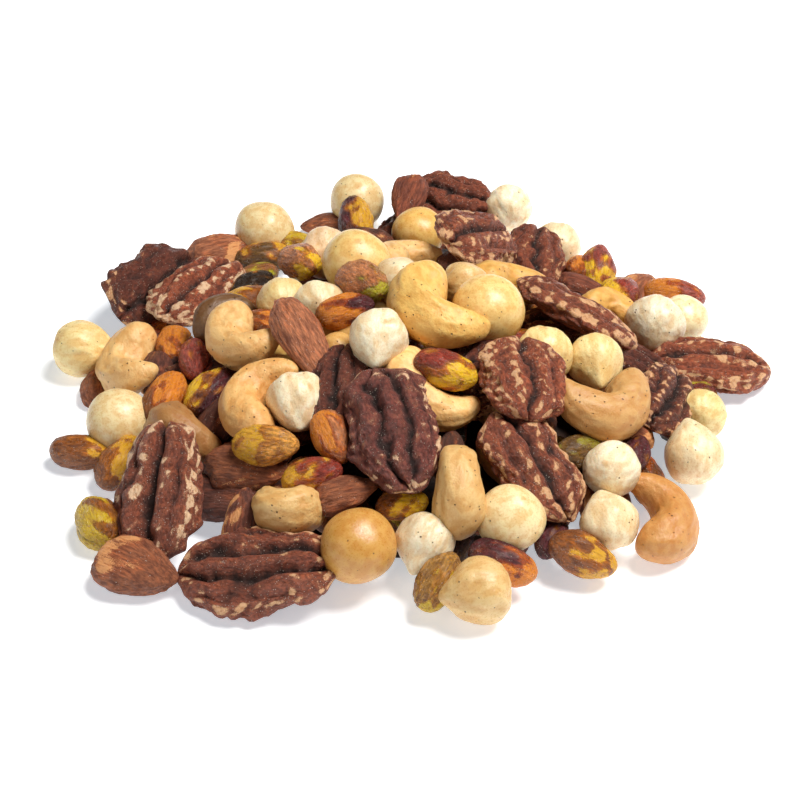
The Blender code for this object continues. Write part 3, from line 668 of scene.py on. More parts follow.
def waves(points, chance, span, count=6):
    """Smooth bumps from about -1 to 1 over some points, roughly this far apart."""
    total = np.zeros(len(points))
    for _ in range(count):
        way = chance.normal(size=points.shape[1])
        way *= chance.uniform(0.7, 1.4) * 2.0 * math.pi / span / np.linalg.norm(way)
        total += np.sin(points @ way + chance.uniform(0.0, 2.0 * math.pi))
    return total / math.sqrt(0.5 * count)


def lumpy(points, chance, layers):
    """Layers of smooth bumps together, each with its height and how far apart its bumps are."""
    return sum(height * waves(points, chance, span) for height, span in layers)


def crease(angle, place, width):
    """1 along a sharp fold at a place and less beside it."""
    return np.exp(-(((np.abs(angle - place) + 0.15 * width) / width) ** 1.4))


def creases(angle, wander, rows):
    """Folds together, each with its depth, its place, how much it wanders and its width."""
    return sum(depth * crease(angle, place + share * wander, width) for depth, place, share, width in rows)


def hump(value, place, width):
    """1 where a value is at a place and less beside it."""
    return np.exp(-(((value - place) / width) ** 2))


def calm_ends(x, share, power):
    """1 along a nut from -1 to 1, and less by this share at its very ends."""
    return 1.0 - share * np.abs(x) ** power


def slimmed(ball, half, taper, lumps):
    """The points of a ball as a long nut that gets slimmer towards +X, with lumps."""
    shaped = ball * half * (1.0 + lumps)[:, None]
    shaped[:, 1:] *= (1.0 - taper * ball[:, 0])[:, None]
    return shaped


# A pecan half: how full its ends are (an egg's is 2), how flat its inner face is, and how it tapers.
PECAN_BLUNTNESS = 3.2
END_EASE = 1e-4
INNER_FLATNESS = 0.62
PECAN_TAPER = 0.10

# Seams between its lobes and furrows along them: each one's depth, angle round the nut, share of the common
# wander, and width. Then how deep all of them go into the nut.
PECAN_SEAMS = {
    "pecan": ((1.0, 0.0, 1.0, 0.17),),
    "twin": ((1.0, 0.36, 1.0, 0.15), (1.0, -0.32, 1.0, 0.14)),
}
PECAN_FURROWS = {
    "pecan": ((1.0, 0.70, 1.6, 0.13), (0.8, -0.66, 1.0, 0.13)),
    "twin": ((0.9, 0.98, 1.0, 0.11), (0.7, -0.95, -1.0, 0.11)),
}
SEAM_DEPTH = 0.68
FURROW_DEPTH = 0.46
DEEPEST_FOLD = 0.78
INNER_FOLD_DEPTH = 0.4
INNER_FOLD_WIDTH = 0.42

# Beads on its ridges, higher on its rims than on the crests of its lobes, and where those crests are.
PECAN_BEADS = (13.0, 17.0)
BEAD_HEIGHT = 0.04
RIM_BEAD_HEIGHT = 0.11
CREST_PLACE = 0.36
CREST_WIDTH = 0.18
PECAN_LUMPS = ((0.05, 0.8), (0.035, 0.34), (0.016, 0.18))

# It is worn on rims, crests and ends and in patches, and hardly in its folds.
RIM_WEAR = 1.1
CREST_WEAR = 0.7
END_WEAR = 0.4
FOLD_COVER = 1.2
PECAN_COVER = 0.16
PECAN_PATCHES = ((0.2, 0.5), (0.25, 0.2))


def pecan(ball, half, chance, form="pecan"):
    """Pecan half: beaded ridges and deep furrows along +Z, a nearly flat inner face on -Z.

    Like the shapes of all kinds, it comes with how deep each point lies in a fold, and how bare it is.
    """
    x = ball[:, 0]
    around = np.arctan2(ball[:, 1], ball[:, 2])
    upper = np.clip(ball[:, 2] * 4.0, 0.0, 1.0)
    wander = 0.09 * np.sin(chance.uniform(2.0, 3.6) * x + chance.uniform(0.0, 6.3))
    wander += 0.05 * waves(ball, chance, 0.5)
    seams = creases(around, wander, PECAN_SEAMS[form])
    furrows = creases(around, wander, PECAN_FURROWS[form])
    furrows *= np.clip(1.3 - np.abs(x - 0.1 * chance.normal()), 0.0, 1.0)
    folds = np.clip(SEAM_DEPTH * seams + FURROW_DEPTH * furrows, 0.0, DEEPEST_FOLD) * upper
    folds += INNER_FOLD_DEPTH * crease(np.abs(around), math.pi + wander, INNER_FOLD_WIDTH) * (1.0 - upper)
    phase = chance.uniform(*PECAN_BEADS) * x + 2.0 * np.sign(around) + waves(ball, chance, 1.1)
    beads = np.abs(np.sin(phase)) ** 0.6
    rims = np.abs(np.sin(around)) ** 4
    lumps = lumpy(ball, chance, PECAN_LUMPS) + (beads - 0.7) * (BEAD_HEIGHT + RIM_BEAD_HEIGHT * rims)
    lumps += (1.0 - upper) * 0.1 * waves(ball, chance, 0.6)
    blunt = np.sqrt((1.0 - np.abs(x) ** PECAN_BLUNTNESS + END_EASE) / (1.0 - x**2 + END_EASE))
    shaped = ball * half
    shaped[:, 2] *= np.where(ball[:, 2] > 0.0, 1.0, INNER_FLATNESS) * (1.0 - folds) * (1.0 + lumps) * blunt
    shaped[:, 1] *= (1.0 - PECAN_TAPER * x) * (1.0 + 0.6 * lumps) * blunt
    shaped[:, 1] *= 1.0 + 0.04 * waves(ball[:, :1], chance, 1.2)
    shaped[:, 0] *= 1.0 - 0.2 * seams * np.abs(x) ** 3 + 0.02 * waves(ball, chance, 0.5)
    wear = RIM_WEAR * rims + CREST_WEAR * hump(np.abs(around), CREST_PLACE, CREST_WIDTH)
    bareness = beads**2 * wear * upper + END_WEAR * np.abs(x) ** 8 + lumpy(ball, chance, PECAN_PATCHES)
    bareness -= FOLD_COVER * np.clip(seams + furrows, 0.0, 1.0) + PECAN_COVER
    return shaped, np.clip(seams + 0.8 * furrows, 0.0, 1.0) * upper + 0.3 * (1.0 - beads), bareness


# A cashew: its seam, the nick inside its bow, and its lumps.
CASHEW_SEAM_WIDTH = 0.10
CASHEW_SEAM_DEPTH = 0.04
NICK_WIDTH = 0.28
NICK_DEPTH = 0.10
CASHEW_LUMPS = ((0.055, 1.3), (0.022, 0.4))
CASHEW_WARP = 0.5


def cashew(ball, half, chance):
    """Cashew: a bow that opens to -Y, thin end on +X, with a seam along its back."""
    x = ball[:, 0]
    angle, bow, limb = cashew_bow(x)
    away = np.clip(np.hypot(ball[:, 1], ball[:, 2]), 1e-6, None)
    around = ball[:, 1:] / away[:, None]
    turn = np.arctan2(around[:, 1], around[:, 0])
    seam = crease(turn, 0.05 * np.sin(3.0 * x), CASHEW_SEAM_WIDTH) * np.clip(1.3 - np.abs(x), 0.0, 1.0)
    nick = hump(x, 0.0, NICK_WIDTH) * np.clip(-around[:, 0], 0.0, 1.0) ** 2
    lumps = lumpy(ball, chance, CASHEW_LUMPS) - CASHEW_SEAM_DEPTH * seam - NICK_DEPTH * nick
    thick = limb * (1.0 + lumps)
    out = bow + around[:, 0] * thick
    flatness = half[2] / (CASHEW_LIMB * half[0])
    shaped = np.column_stack([
        out * np.sin(angle),
        out * np.cos(angle) - CASHEW_MIDDLE * bow,
        around[:, 1] * thick * flatness + CASHEW_WARP * waves(ball[:, :1], chance, 2.2),
    ])
    return shaped, 0.5 * seam + 0.7 * nick, 0.3 * waves(ball, chance, 0.9) - 0.2


# An almond: how it tapers, its lumps, and its fine ribs.
ALMOND_TAPER = 0.34
ALMOND_LUMPS = ((0.03, 0.9), (0.01, 0.25))
ALMOND_RIBS = 17.0
ALMOND_RIB_HEIGHT = 0.010


def almond(ball, half, chance):
    """Almond: slimmer towards its point on +X, with fine ribs along it."""
    turn = np.arctan2(ball[:, 1], ball[:, 2])
    ribs = np.sin(ALMOND_RIBS * turn + 2.5 * waves(ball, chance, 1.1))
    ribs *= np.clip(calm_ends(ball[:, 0], 1.0, 6), 0.0, 1.0)
    lumps = lumpy(ball, chance, ALMOND_LUMPS) + ALMOND_RIB_HEIGHT * ribs
    return slimmed(ball, half, ALMOND_TAPER, lumps), 0.15 * (1.0 - ribs), 0.35 * waves(ball, chance, 0.7)


# A pistachio kernel: its taper, the line between its halves, its wrinkles and lumps, and how much these
# calm down at its ends.
PISTACHIO_TAPER = 0.10
SPLIT_WIDTH = 0.13
SPLIT_DEPTH = 0.09
WRINKLE_HEIGHT = 0.016
PISTACHIO_LUMPS = ((0.035, 1.2),)
PISTACHIO_CALM = 0.8


def pistachio(ball, half, chance):
    """Pistachio kernel: lumpy, with the line between its halves round its edge."""
    x = ball[:, 0]
    turn = np.arctan2(ball[:, 2], ball[:, 1])
    split = crease(turn, 0.15 * np.sin(2.0 * x + chance.uniform(0.0, 6.0)), SPLIT_WIDTH)
    split *= calm_ends(x, 1.0, 6)
    wrinkles = waves(ball * [1.0, 2.2, 2.2], chance, 0.5)
    lumps = lumpy(ball, chance, PISTACHIO_LUMPS) + WRINKLE_HEIGHT * wrinkles
    lumps = calm_ends(x, PISTACHIO_CALM, 3) * lumps - SPLIT_DEPTH * split
    shaped = slimmed(ball, half, PISTACHIO_TAPER, lumps)
    return shaped, 0.8 * split + 0.25 * np.clip(-wrinkles, 0.0, 1.0), 0.35 * waves(ball, chance, 0.8)


# A blanched hazelnut: its tip, broad below and sharp above, its base, its taper, its ribs and its lumps.
HAZELNUT_TIP = 0.26
TIP_SHARPNESS = 7.0
NEEDLE_SHARPNESS = 40
HAZELNUT_BASE = 0.10
HAZELNUT_TAPER = 0.16
HAZELNUT_RIBS = 8.0
HAZELNUT_FINE_RIBS = 19.0
HAZELNUT_RIB_HEIGHT = 0.007
HAZELNUT_LUMPS = ((0.024, 1.1), (0.005, 0.35))


def hazelnut(ball, half, chance):
    """Blanched hazelnut: a ball with an onion's tip on +X and faint ribs."""
    ahead = np.clip(ball[:, 0], 0.0, 1.0)
    tip = HAZELNUT_TIP * (0.6 * ahead**TIP_SHARPNESS + 0.4 * ahead**NEEDLE_SHARPNESS)
    turn = np.arctan2(ball[:, 2], ball[:, 1])
    ribs = np.sin(HAZELNUT_RIBS * turn + 1.5 * waves(ball, chance, 1.4))
    ribs += 0.6 * np.sin(HAZELNUT_FINE_RIBS * turn + 2.0 * waves(ball, chance, 0.9))
    ribs *= np.clip(calm_ends(ball[:, 0], 1.0, 12), 0.0, 1.0)
    lumps = lumpy(ball, chance, HAZELNUT_LUMPS) + HAZELNUT_RIB_HEIGHT * ribs
    base = HAZELNUT_BASE * np.clip(-ball[:, 0], 0.0, 1.0) ** 6
    shaped = ball * half * (1.0 + tip + lumps - base)[:, None]
    shaped[:, 1:] *= (1.0 - HAZELNUT_TAPER * ahead**2)[:, None]
    return shaped, np.clip(-0.35 * ribs, 0.0, 1.0), 0.4 * waves(ball, chance, 0.8) + 0.15 * ribs - 0.1


MACADAMIA_TIP = 0.04
MACADAMIA_LUMPS = ((0.018, 1.5),)


def macadamia(ball, half, chance):
    """Macadamia: a smooth ball, hardly pointed on +X."""
    tip = MACADAMIA_TIP * np.clip(ball[:, 0], 0.0, 1.0) ** TIP_SHARPNESS
    shaped = ball * half * (1.0 + tip + lumpy(ball, chance, MACADAMIA_LUMPS))[:, None]
    return shaped, np.zeros(len(ball)), 0.4 * waves(ball, chance, 1.0) - 0.1


SHAPES = {
    "pecan": pecan,
    "twin": partial(pecan, form="twin"),
    "cashew": cashew,
    "almond": almond,
    "pistachio": pistachio,
    "hazelnut": hazelnut,
    "macadamia": macadamia,
}


def ball_of(kind, fineness):
    """Points and faces of a ball of radius 1 with its poles on X, fine enough for a nut of a kind."""
    bm = bmesh.new()
    if kind in ROUND_KINDS:
        levels = BALL_SUBDIVISIONS if fineness == 1.0 else BALL_SUBDIVISIONS - 1
        bmesh.ops.create_icosphere(bm, subdivisions=levels, radius=1.0)
    else:
        segments, rings = PECAN_FACETS if kind == "pecan" else LONG_FACETS
        segments, rings = round(fineness * segments), round(fineness * rings)
        bmesh.ops.create_uvsphere(bm, u_segments=segments, v_segments=rings, radius=1.0)
        bmesh.ops.triangulate(bm, faces=bm.faces)
    points = np.array([vertex.co[:] for vertex in bm.verts])[:, [2, 0, 1]]
    faces = np.array([[vertex.index for vertex in face.verts] for face in bm.faces])
    bm.free()
    return points, faces


def wear_of(nut, ball, bareness, chance):
    """Skin and flesh colours of a nut, and how bare it is at each point of its ball."""
    fleshes = FLESHES[nut.kind]
    if not nut.seen:
        skins = [name for name in COLOURS[nut.kind] if name not in fleshes]
        return chance.choice(skins), chance.choice(fleshes), bareness - FILLER_COVER
    if not nut.seen.worn:
        return nut.seen.skin, fleshes[0], bareness - COVER
    flesh, wear, facing = nut.seen.worn
    toward = ball @ (direction_seen(facing) @ nut.axes)
    return nut.seen.skin, flesh, bareness + LEAN[nut.kind] * toward + WEAR * wear - COVER


def nut_mesh(nut, number, fineness):
    """One nut in its place: points in metres, faces, and what its material reads at each point."""
    chance = np.random.default_rng(number)
    ball, faces = ball_of(nut.kind, fineness)
    form = nut.seen.form if nut.seen else ""
    shaped, depth, bareness = SHAPES[form or nut.kind](ball, half_sizes(nut.kind), chance)
    shaped = nut.size * shaped
    skin, flesh, bare = wear_of(nut, ball, bareness, chance)
    skin, flesh = (srgb(COLOURS[nut.kind][name]) for name in (skin, flesh))
    # The skin of a filler is darkened here, painted shade for the gaps.
    shade = chance.uniform(*(SHADES_IN_VIEW if nut.seen else PAINTED_SHADES_BELOW))
    placed = shaped @ nut.axes.T + nut.centre - HEAP_MIDDLE
    placed[:, 2] = np.clip(placed[:, 2], 0.0, None)
    rows = {
        "grain": shaped + GRAIN_REACH * chance.uniform(size=3),
        "depth": depth,
        "bare": bare,
        "skin": np.tile(np.array(skin) * [shade, shade, shade, 1.0], (len(ball), 1)),
        "flesh": np.tile(flesh, (len(ball), 1)),
    }
    return METRES_PER_MM * placed, faces, rows


def joined_mesh(name, parts):
    """One mesh of several nuts, with the attributes that the materials read."""
    points, faces, start = [], [], 0
    for part_points, part_faces, _ in parts:
        points.append(part_points)
        faces.append(part_faces + start)
        start += len(part_points)
    mesh = bpy.data.meshes.new(name)
    mesh.from_pydata(np.concatenate(points).tolist(), [], np.concatenate(faces).tolist())
    for key, kind, field in (
        ("grain", "FLOAT_VECTOR", "vector"), ("depth", "FLOAT", "value"), ("bare", "FLOAT", "value"),
        ("skin", "FLOAT_COLOR", "color"), ("flesh", "FLOAT_COLOR", "color"),
    ):
        values = np.concatenate([rows[key] for _, _, rows in parts]).astype(np.float32)
        mesh.attributes.new(key, kind, "POINT").data.foreach_set(field, values.ravel())
    mesh.shade_smooth()
    return mesh


class Tree:
    """The node tree of a new material, with its shader."""

    def __init__(self, name):
        self.material = bpy.data.materials.new(name)
        self.material.use_nodes = True
        self.nodes = self.material.node_tree.nodes
        self.links = self.material.node_tree.links
        self.shader = self.nodes["Principled BSDF"]

    def fill(self, node, inputs):
        """Give the inputs of a node their values or links."""
        for name, value in inputs.items():
            socket = node.inputs[name]
            if isinstance(value, bpy.types.NodeSocket):
                self.links.new(value, socket)
            else:
                socket.default_value = value

    def node(self, kind, inputs, output, **settings):
        """What comes out of a new node with these settings and inputs."""
        node = self.nodes.new("ShaderNode" + kind)
        for name, value in settings.items():
            setattr(node, name, value)
        self.fill(node, inputs)
        return node.outputs[output]

    def attribute(self, name, output="Fac"):
        """What the mesh holds at each point under this name."""
        return self.node("Attribute", {}, output, attribute_name=name)

    def place(self):
        """Where a point is on an object that holds no grain, in metres."""
        return self.node("TexCoord", {}, "Object")

    def noise(self, place, scale, detail=3.0, roughness=0.55):
        """Fractal noise from 0 to 1."""
        inputs = {"Vector": place, "Scale": scale, "Detail": detail, "Roughness": roughness}
        return self.node("TexNoise", inputs, "Fac")

    def cells(self, place, scale):
        """Distance to the nearest of some scattered points."""
        return self.node("TexVoronoi", {"Vector": place, "Scale": scale}, "Distance")

    def ramp(self, value, low, high, bottom=0.0, top=1.0):
        """A value carried smoothly from one range to another."""
        inputs = {"Value": value, "From Min": low, "From Max": high, "To Min": bottom, "To Max": top}
        return self.node("MapRange", inputs, "Result", interpolation_type="SMOOTHSTEP")

    def plus(self, first, second):
        """Two values added."""
        return self.node("Math", {0: first, 1: second}, "Value", operation="ADD")

    def minus(self, first, second):
        """One value less another."""
        return self.node("Math", {0: first, 1: second}, "Value", operation="SUBTRACT")

    def times(self, first, second):
        """Two values multiplied."""
        return self.node("Math", {0: first, 1: second}, "Value", operation="MULTIPLY")

    def stretched(self, place, share):
        """A place that changes less along X, so that what is read there runs along X."""
        return self.node("VectorMath", {0: place, 1: (share, 1.0, 1.0)}, "Vector", operation="MULTIPLY")

    def mix(self, share, first, second, blend="MIX"):
        """Two colours mixed or blended by a share."""
        inputs = {MIX_SHARE: share, MIX_FIRST: first, MIX_SECOND: second}
        return self.node("Mix", inputs, MIX_RESULT, data_type="RGBA", blend_type=blend)

    def relief(self, height, distance):
        """Bumps of this height in millimetres on the surface."""
        inputs = {"Strength": 1.0, "Distance": METRES_PER_MM * distance, "Height": height}
        self.fill(self.shader, {"Normal": self.node("Bump", inputs, "Normal")})


# Which inputs and which output of a mix node are those for colours.
MIX_SHARE = 0
MIX_FIRST = 6
MIX_SECOND = 7
MIX_RESULT = 2

# What the colours of the nuts are mixed with or multiplied by.
WHITE = srgb((250, 232, 214))
# Near black, painted shade in the folds.
FOLD_PAINTED_SHADE = srgb((30, 13, 8))
# SHADE darkens broad patches at random, and is painted shade in the valleys of the wrinkles.
SHADE = (0.52, 0.42, 0.40, 1.0)
# Painted highlight on the crests of the wrinkles.
CREST_PAINTED_HIGHLIGHT = (1.6, 1.4, 1.25, 1.0)
# Reddish painted shade in the valleys of the wrinkles of the bare flesh.
RUSSET = (0.66, 0.42, 0.26, 1.0)
THIN_SKIN = (0.62, 0.36, 0.28, 1.0)
# Toast brown for streaks and blotches, and painted shade in the creases.
TOAST_AND_CREASE_SHADE = (0.82, 0.60, 0.36, 1.0)
PORE = (0.10, 0.04, 0.015, 1.0)

# Ramps of the skins: the two values where each starts and ends, and what it gives there.
BARE_EDGE = (-0.08, 0.12)
THINNING_EDGE = (-0.7, 0.0, 0.0)
BROAD_SHADE = (0.3, 0.6, 0.55, 0.0)
# Painted shade in the valleys of the wrinkles and a painted highlight on their crests, on skin and flesh.
WRINKLE_VALLEY_PAINTED_SHADE = (0.36, 0.58, 0.9, 0.0)
WRINKLE_CREST_PAINTED_HIGHLIGHT = (0.50, 0.66, 0.0, 0.6)
FLESH_VALLEY_PAINTED_SHADE = (0.35, 0.53, 0.8, 0.0)
FLESH_SPECKS = (0.5, 0.7, 0.0, 0.15)
FOLD_EDGE = (0.25, 0.95)
SALT_GRAIN = (0.08, 0.26, 1.0, 0.0)
SALT_DUST = (0.64, 0.74, 0.0, 0.3)

# Above which value of the noise salt lies, how far more salt brings that down, and the width of the edge.
SALT_START = 0.68
SALT_SPREAD = 0.3
SALT_EDGE = 0.10

# How white salt is, and how much rougher dull patches and folds are than what shines.
SALT_WHITENESS = 0.65
DULLNESS = 0.25
FOLD_DULLNESS = 0.4


def skin_material(name, crumble, thinning, salt, ribs, relief, gloss, coat, dark):
    """A nut with a skin: bare flesh where it is rubbed off, painted shade in its folds, wrinkles with
    painted shade in their valleys and a painted highlight on their crests, and salt.

    crumble is how ragged the edge of the bare flesh is, thinning how far flesh shows through the skin near
    it, ribs how fast the wrinkles change along the nut, relief their height in millimetres, gloss the
    roughness where it shines, coat how much oil lies on it, and dark how dark the painted shade in the
    folds is.
    """
    tree = Tree(name)
    place = tree.attribute("grain", "Vector")
    coarse = tree.noise(place, scale=0.35, detail=2.0)
    wrinkles = tree.noise(tree.stretched(place, ribs), scale=1.5, detail=5.0, roughness=0.62)
    fine = tree.noise(place, scale=4.5, detail=3.0, roughness=0.65)
    streaks = tree.noise(tree.stretched(place, min(1.0, 1.6 * ribs)), scale=1.0, detail=4.0, roughness=0.65)
    ragged = tree.times(tree.minus(streaks, 0.5), crumble)
    specks = tree.times(tree.minus(fine, 0.5), 0.8)
    bareness = tree.plus(tree.attribute("bare"), tree.plus(ragged, specks))
    bare = tree.ramp(bareness, *BARE_EDGE)
    skin, flesh = tree.attribute("skin", "Color"), tree.attribute("flesh", "Color")
    through = tree.mix(1.0, flesh, THIN_SKIN, "MULTIPLY")
    skin = tree.mix(tree.ramp(bareness, *THINNING_EDGE, thinning), skin, through)
    # Darker in broad patches at random, and painted shade in the valleys of the wrinkles; then a painted
    # highlight on their crests and painted shade in the valleys of the flesh.
    for value, ramp in ((coarse, BROAD_SHADE), (wrinkles, WRINKLE_VALLEY_PAINTED_SHADE)):
        skin = tree.mix(tree.ramp(value, *ramp), skin, SHADE, "MULTIPLY")
    skin = tree.mix(tree.ramp(wrinkles, *WRINKLE_CREST_PAINTED_HIGHLIGHT), skin, tree.mix(1.0, skin, CREST_PAINTED_HIGHLIGHT, "MULTIPLY"))
    flesh = tree.mix(tree.ramp(wrinkles, *FLESH_VALLEY_PAINTED_SHADE), flesh, RUSSET, "MULTIPLY")
    flesh = tree.mix(tree.ramp(fine, *FLESH_SPECKS), flesh, WHITE)
    # Painted shade: the colour goes towards near black in the folds, by dark.
    fold = tree.ramp(tree.attribute("depth"), *FOLD_EDGE)
    colour = tree.mix(tree.times(fold, dark), tree.mix(bare, skin, flesh), FOLD_PAINTED_SHADE)
    salt_start = SALT_START - SALT_SPREAD * salt
    many = tree.ramp(tree.noise(place, scale=0.45, detail=1.0), salt_start, salt_start + SALT_EDGE)
    salted = tree.times(tree.ramp(tree.cells(place, scale=1.7), *SALT_GRAIN), many)
    colour = tree.mix(tree.times(salted, SALT_WHITENESS), colour, WHITE)
    colour = tree.mix(tree.times(tree.ramp(fine, *SALT_DUST), many), colour, WHITE)
    patches = tree.ramp(tree.noise(place, scale=0.8, detail=2.0), 0.35, 0.65, gloss, gloss + DULLNESS)
    tree.fill(tree.shader, {
        "Base Color": colour, "Roughness": tree.plus(patches, tree.times(fold, FOLD_DULLNESS)),
        "Specular IOR Level": 0.5, "Coat Weight": coat, "Coat Roughness": 0.18,
    })
    height = tree.plus(wrinkles, tree.times(fine, 0.45))
    height = tree.plus(height, tree.times(bare, -0.2))
    tree.relief(tree.plus(height, tree.times(salted, 0.4)), relief)
    return tree.material


# Ramps of the nuts without a skin, in the same way.
PATCH_EDGE = (0.2, 0.9, 0.0, 0.8)
STREAK_TOAST = (0.38, 0.6, 0.56, 0.0)
BLOTCH_TOAST = (0.38, 0.55, 0.24, 0.0)
# Painted shade in the creases.
CREASE_PAINTED_SHADE = (0.1, 1.0, 0.0, 0.55)
PIT_EDGE = (0.10, 0.20, 1.0, 0.0)

# Above which value of the noise pits lie, less the pores of a kind, the width of that edge, and how dark.
PIT_START = 0.66
PIT_SPREAD = 0.04
PIT_DARKNESS = 0.8


def blanched_material(name, pores, ribs, relief, gloss, glow):
    """A nut without a skin: mottled, with dark pores, painted shade in its creases and a soft glow.

    ribs is how fast the streaks change along the nut, relief the height of its bumps in millimetres, gloss
    its least roughness, and glow how much light it scatters inside.
    """
    tree = Tree(name)
    place = tree.attribute("grain", "Vector")
    coarse = tree.noise(place, scale=0.16, detail=3.0)
    streaks = tree.noise(tree.stretched(place, ribs), scale=0.5, detail=4.0)
    fine = tree.noise(place, scale=2.2, detail=4.0, roughness=0.6)
    patches = tree.ramp(tree.plus(tree.attribute("bare"), coarse), *PATCH_EDGE)
    colour = tree.mix(patches, tree.attribute("skin", "Color"), tree.attribute("flesh", "Color"))
    # Toast brown in random streaks and blotches, and painted shade in the creases.
    toasting_and_crease_shading = ((streaks, STREAK_TOAST), (fine, BLOTCH_TOAST), (tree.attribute("depth"), CREASE_PAINTED_SHADE))
    for value, ramp in toasting_and_crease_shading:
        colour = tree.mix(tree.ramp(value, *ramp), colour, TOAST_AND_CREASE_SHADE, "MULTIPLY")
    pit_start = PIT_START - pores
    few = tree.ramp(tree.noise(place, scale=0.9, detail=1.0), pit_start, pit_start + PIT_SPREAD)
    pits = tree.times(tree.ramp(tree.cells(place, scale=0.75), *PIT_EDGE), few)
    tree.fill(tree.shader, {
        "Base Color": tree.mix(tree.times(pits, PIT_DARKNESS), colour, PORE),
        "Roughness": tree.ramp(fine, 0.35, 0.65, gloss, gloss + 0.15),
        "Subsurface Weight": glow, "Subsurface Radius": (1.0, 0.6, 0.3), "Subsurface Scale": 0.0012,
    })
    height = tree.plus(tree.times(streaks, 0.7), tree.times(fine, 0.25))
    tree.relief(tree.minus(height, pits), relief)
    return tree.material


def core_material():
    """Painted shade for the shadowed nuts deep in the gaps: dark brown, flecked darker, with small bumps.
    """
    tree = Tree("painted_shade_core")
    core_flecks = tree.noise(tree.place(), CORE_FLECKS_PER_METRE, detail=6.0, roughness=0.7)
    # Painted shade: dark brown flecked with darker.
    colour = tree.mix(tree.ramp(core_flecks, 0.35, 0.65), srgb(CORE_PAINTED_SHADE), srgb(CORE_FLECK_PAINTED_SHADE))
    tree.fill(tree.shader, {"Base Color": colour, "Roughness": 0.85})
    tree.relief(core_flecks, 1.0)
    return tree.material


def table_material():
    """Pale table, hardly mottled."""
    tree = Tree("pale_table")
    mottle = tree.noise(tree.place(), TABLE_MOTTLES_PER_METRE, detail=2.0)
    colour = tree.mix(tree.ramp(mottle, 0.2, 0.8), srgb(TABLE_COLOUR), srgb(TABLE_MOTTLE))
    tree.fill(tree.shader, {
        "Base Color": colour, "Roughness": 0.7, "Specular IOR Level": 0.2,
        "Emission Color": TABLE_GLOW_COLOUR, "Emission Strength": TABLE_GLOW,
    })
    return tree.material


MATERIALS = {
    "pecan": partial(
        skin_material, "pecan_skin", crumble=0.8, thinning=0.25, salt=0.8,
        ribs=0.7, relief=0.8, gloss=0.3, coat=0.0, dark=0.95,
    ),
    "almond": partial(
        skin_material, "almond_skin", crumble=0.9, thinning=0.5, salt=0.45,
        ribs=0.2, relief=0.7, gloss=0.45, coat=0.0, dark=0.6,
    ),
    "pistachio": partial(
        skin_material, "pistachio_skin", crumble=1.0, thinning=0.85, salt=0.6,
        ribs=0.3, relief=0.75, gloss=0.2, coat=0.08, dark=0.85,
    ),
    "cashew": partial(
        blanched_material, "cashew_flesh", pores=0.14, ribs=0.6, relief=0.55, gloss=0.36, glow=0.1
    ),
    "hazelnut": partial(
        blanched_material, "hazelnut_flesh", pores=0.06, ribs=0.3, relief=0.4, gloss=0.26, glow=0.15
    ),
    "macadamia": partial(
        blanched_material, "macadamia_flesh", pores=0.05, ribs=1.0, relief=0.15, gloss=0.26, glow=0.2
    ),
}


def add_object(name, data):
    """A new object in the scene."""
    item = bpy.data.objects.new(name, data)
    bpy.context.scene.collection.objects.link(item)
    return item


def add_piece(name, mesh, material):
    """Show a mesh as a piece that stands for the heap."""
    piece = add_object(name, mesh)
    mesh.materials.append(material)
    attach(piece, "root")
    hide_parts(HEAP)


def add_core():
    """Lumps under the nuts, lower than the bed, dark with painted shade."""
    chance = np.random.default_rng(CORE_SEED)
    bm = bmesh.new()
    bmesh.ops.create_icosphere(bm, subdivisions=CORE_SUBDIVISIONS, radius=1.0)
    ball = np.array([vertex.co[:] for vertex in bm.verts])
    flat = ball[:, :2] * CORE_RADIUS + BED_CENTRE
    lumps = CORE_LUMPS * waves(flat, chance, CORE_LUMP_SPAN)
    top = bed_height(flat[:, 0], flat[:, 1]) - CORE_DEPTH + lumps
    dome = np.clip(top * np.clip(ball[:, 2], 0.0, 1.0) ** CORE_BLUNTNESS, 0.0, None)
    for vertex, point in zip(bm.verts, METRES_PER_MM * (np.column_stack([flat, dome]) - HEAP_MIDDLE)):
        vertex.co = point
    mesh = bpy.data.meshes.new("core")
    bm.to_mesh(mesh)
    bm.free()
    mesh.shade_smooth()
    add_piece("core", mesh, core_material())


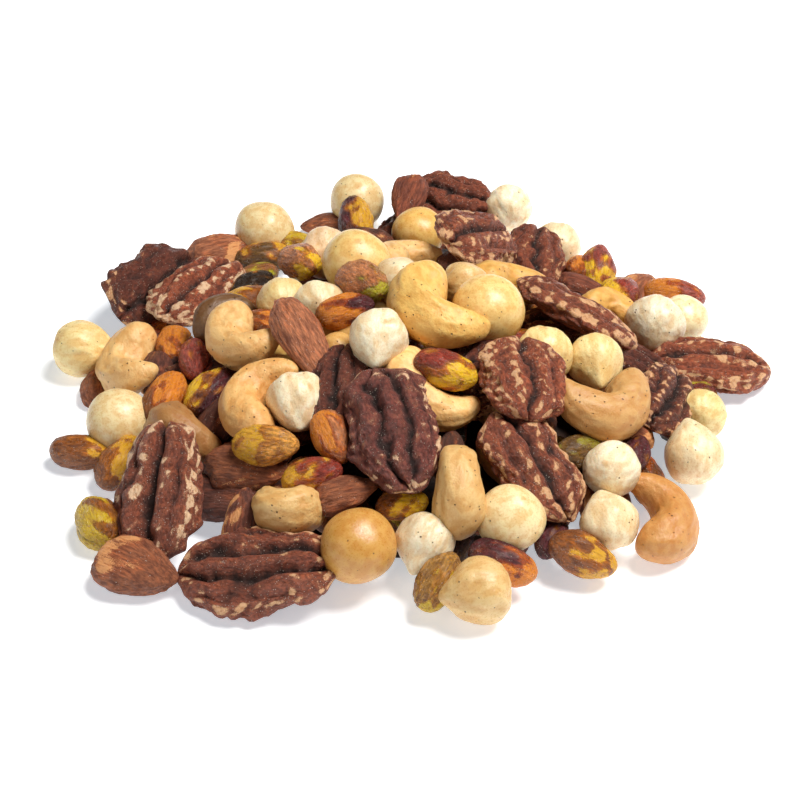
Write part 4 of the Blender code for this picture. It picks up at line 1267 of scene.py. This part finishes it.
def add_nuts():
    """Every nut, in one piece for each kind."""
    in_view = settle()
    nuts = against_the_heap(in_view + fill_between(in_view, RIM_FILL))
    for fill in (SLOPE_FILL, DEEP_FILL):
        nuts = nuts + fill_between(nuts, fill)
    parts = {kind: [] for kind in SIZES}
    for number, nut in enumerate(nuts):
        parts[nut.kind].append(nut_mesh(nut, number, 1.0 if nut.seen else FILLER_FINENESS))
    for kind, meshes in parts.items():
        add_piece(f"{kind}s", joined_mesh(f"{kind}s", meshes), MATERIALS[kind]())


def add_floor():
    """The table that the heap lies on."""
    bpy.ops.mesh.primitive_plane_add(size=TABLE_SIZE)
    floor = bpy.context.object
    floor.name = "table"
    floor.data.materials.append(table_material())


def add_light(name, direction, distance, size, power, colour):
    """A round soft light that looks at the heap from a direction."""
    data = bpy.data.lights.new(name, "AREA")
    data.shape = "DISK"
    data.size = size
    data.energy = power
    data.color = colour
    light = add_object(name, data)
    back = Vector(direction).normalized()
    light.location = back * distance
    light.rotation_mode = "QUATERNION"
    light.rotation_quaternion = back.to_track_quat("Z", "Y")


def add_lights():
    """A broad light from the upper right, a weak one from the left and pale light all round."""
    for name, values in LIGHTS.items():
        add_light(name, *values)
    world = bpy.data.worlds.new("studio")
    bpy.context.scene.world = world
    world.use_nodes = True
    sky = world.node_tree.nodes["Background"]
    sky.inputs["Color"].default_value = SKY_COLOUR
    sky.inputs["Strength"].default_value = SKY_STRENGTH


def add_camera():
    """The camera of the picture."""
    data = bpy.data.cameras.new("camera")
    data.sensor_width = SENSOR_WIDTH
    data.lens = SENSOR_WIDTH * PIXELS_PER_MM * VIEW_DISTANCE / PICTURE_WIDTH
    data.shift_x = (0.5 * PICTURE_WIDTH - MIDDLE_ACROSS) / PICTURE_WIDTH
    data.shift_y = (MIDDLE_DOWN - 0.5 * PICTURE_WIDTH) / PICTURE_WIDTH
    camera = add_object("camera", data)
    place = Matrix.Identity(4)
    for column, axis in enumerate((RIGHT, UP, -FORWARD, METRES_PER_MM * (EYE - HEAP_MIDDLE))):
        place.col[column][:3] = axis.tolist()
    camera.matrix_world = place
    bpy.context.scene.camera = camera


def main():
    """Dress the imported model."""
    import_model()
    add_camera()
    add_lights()
    add_floor()
    add_core()
    add_nuts()
    bpy.context.scene.view_settings.view_transform = "Standard"


main()
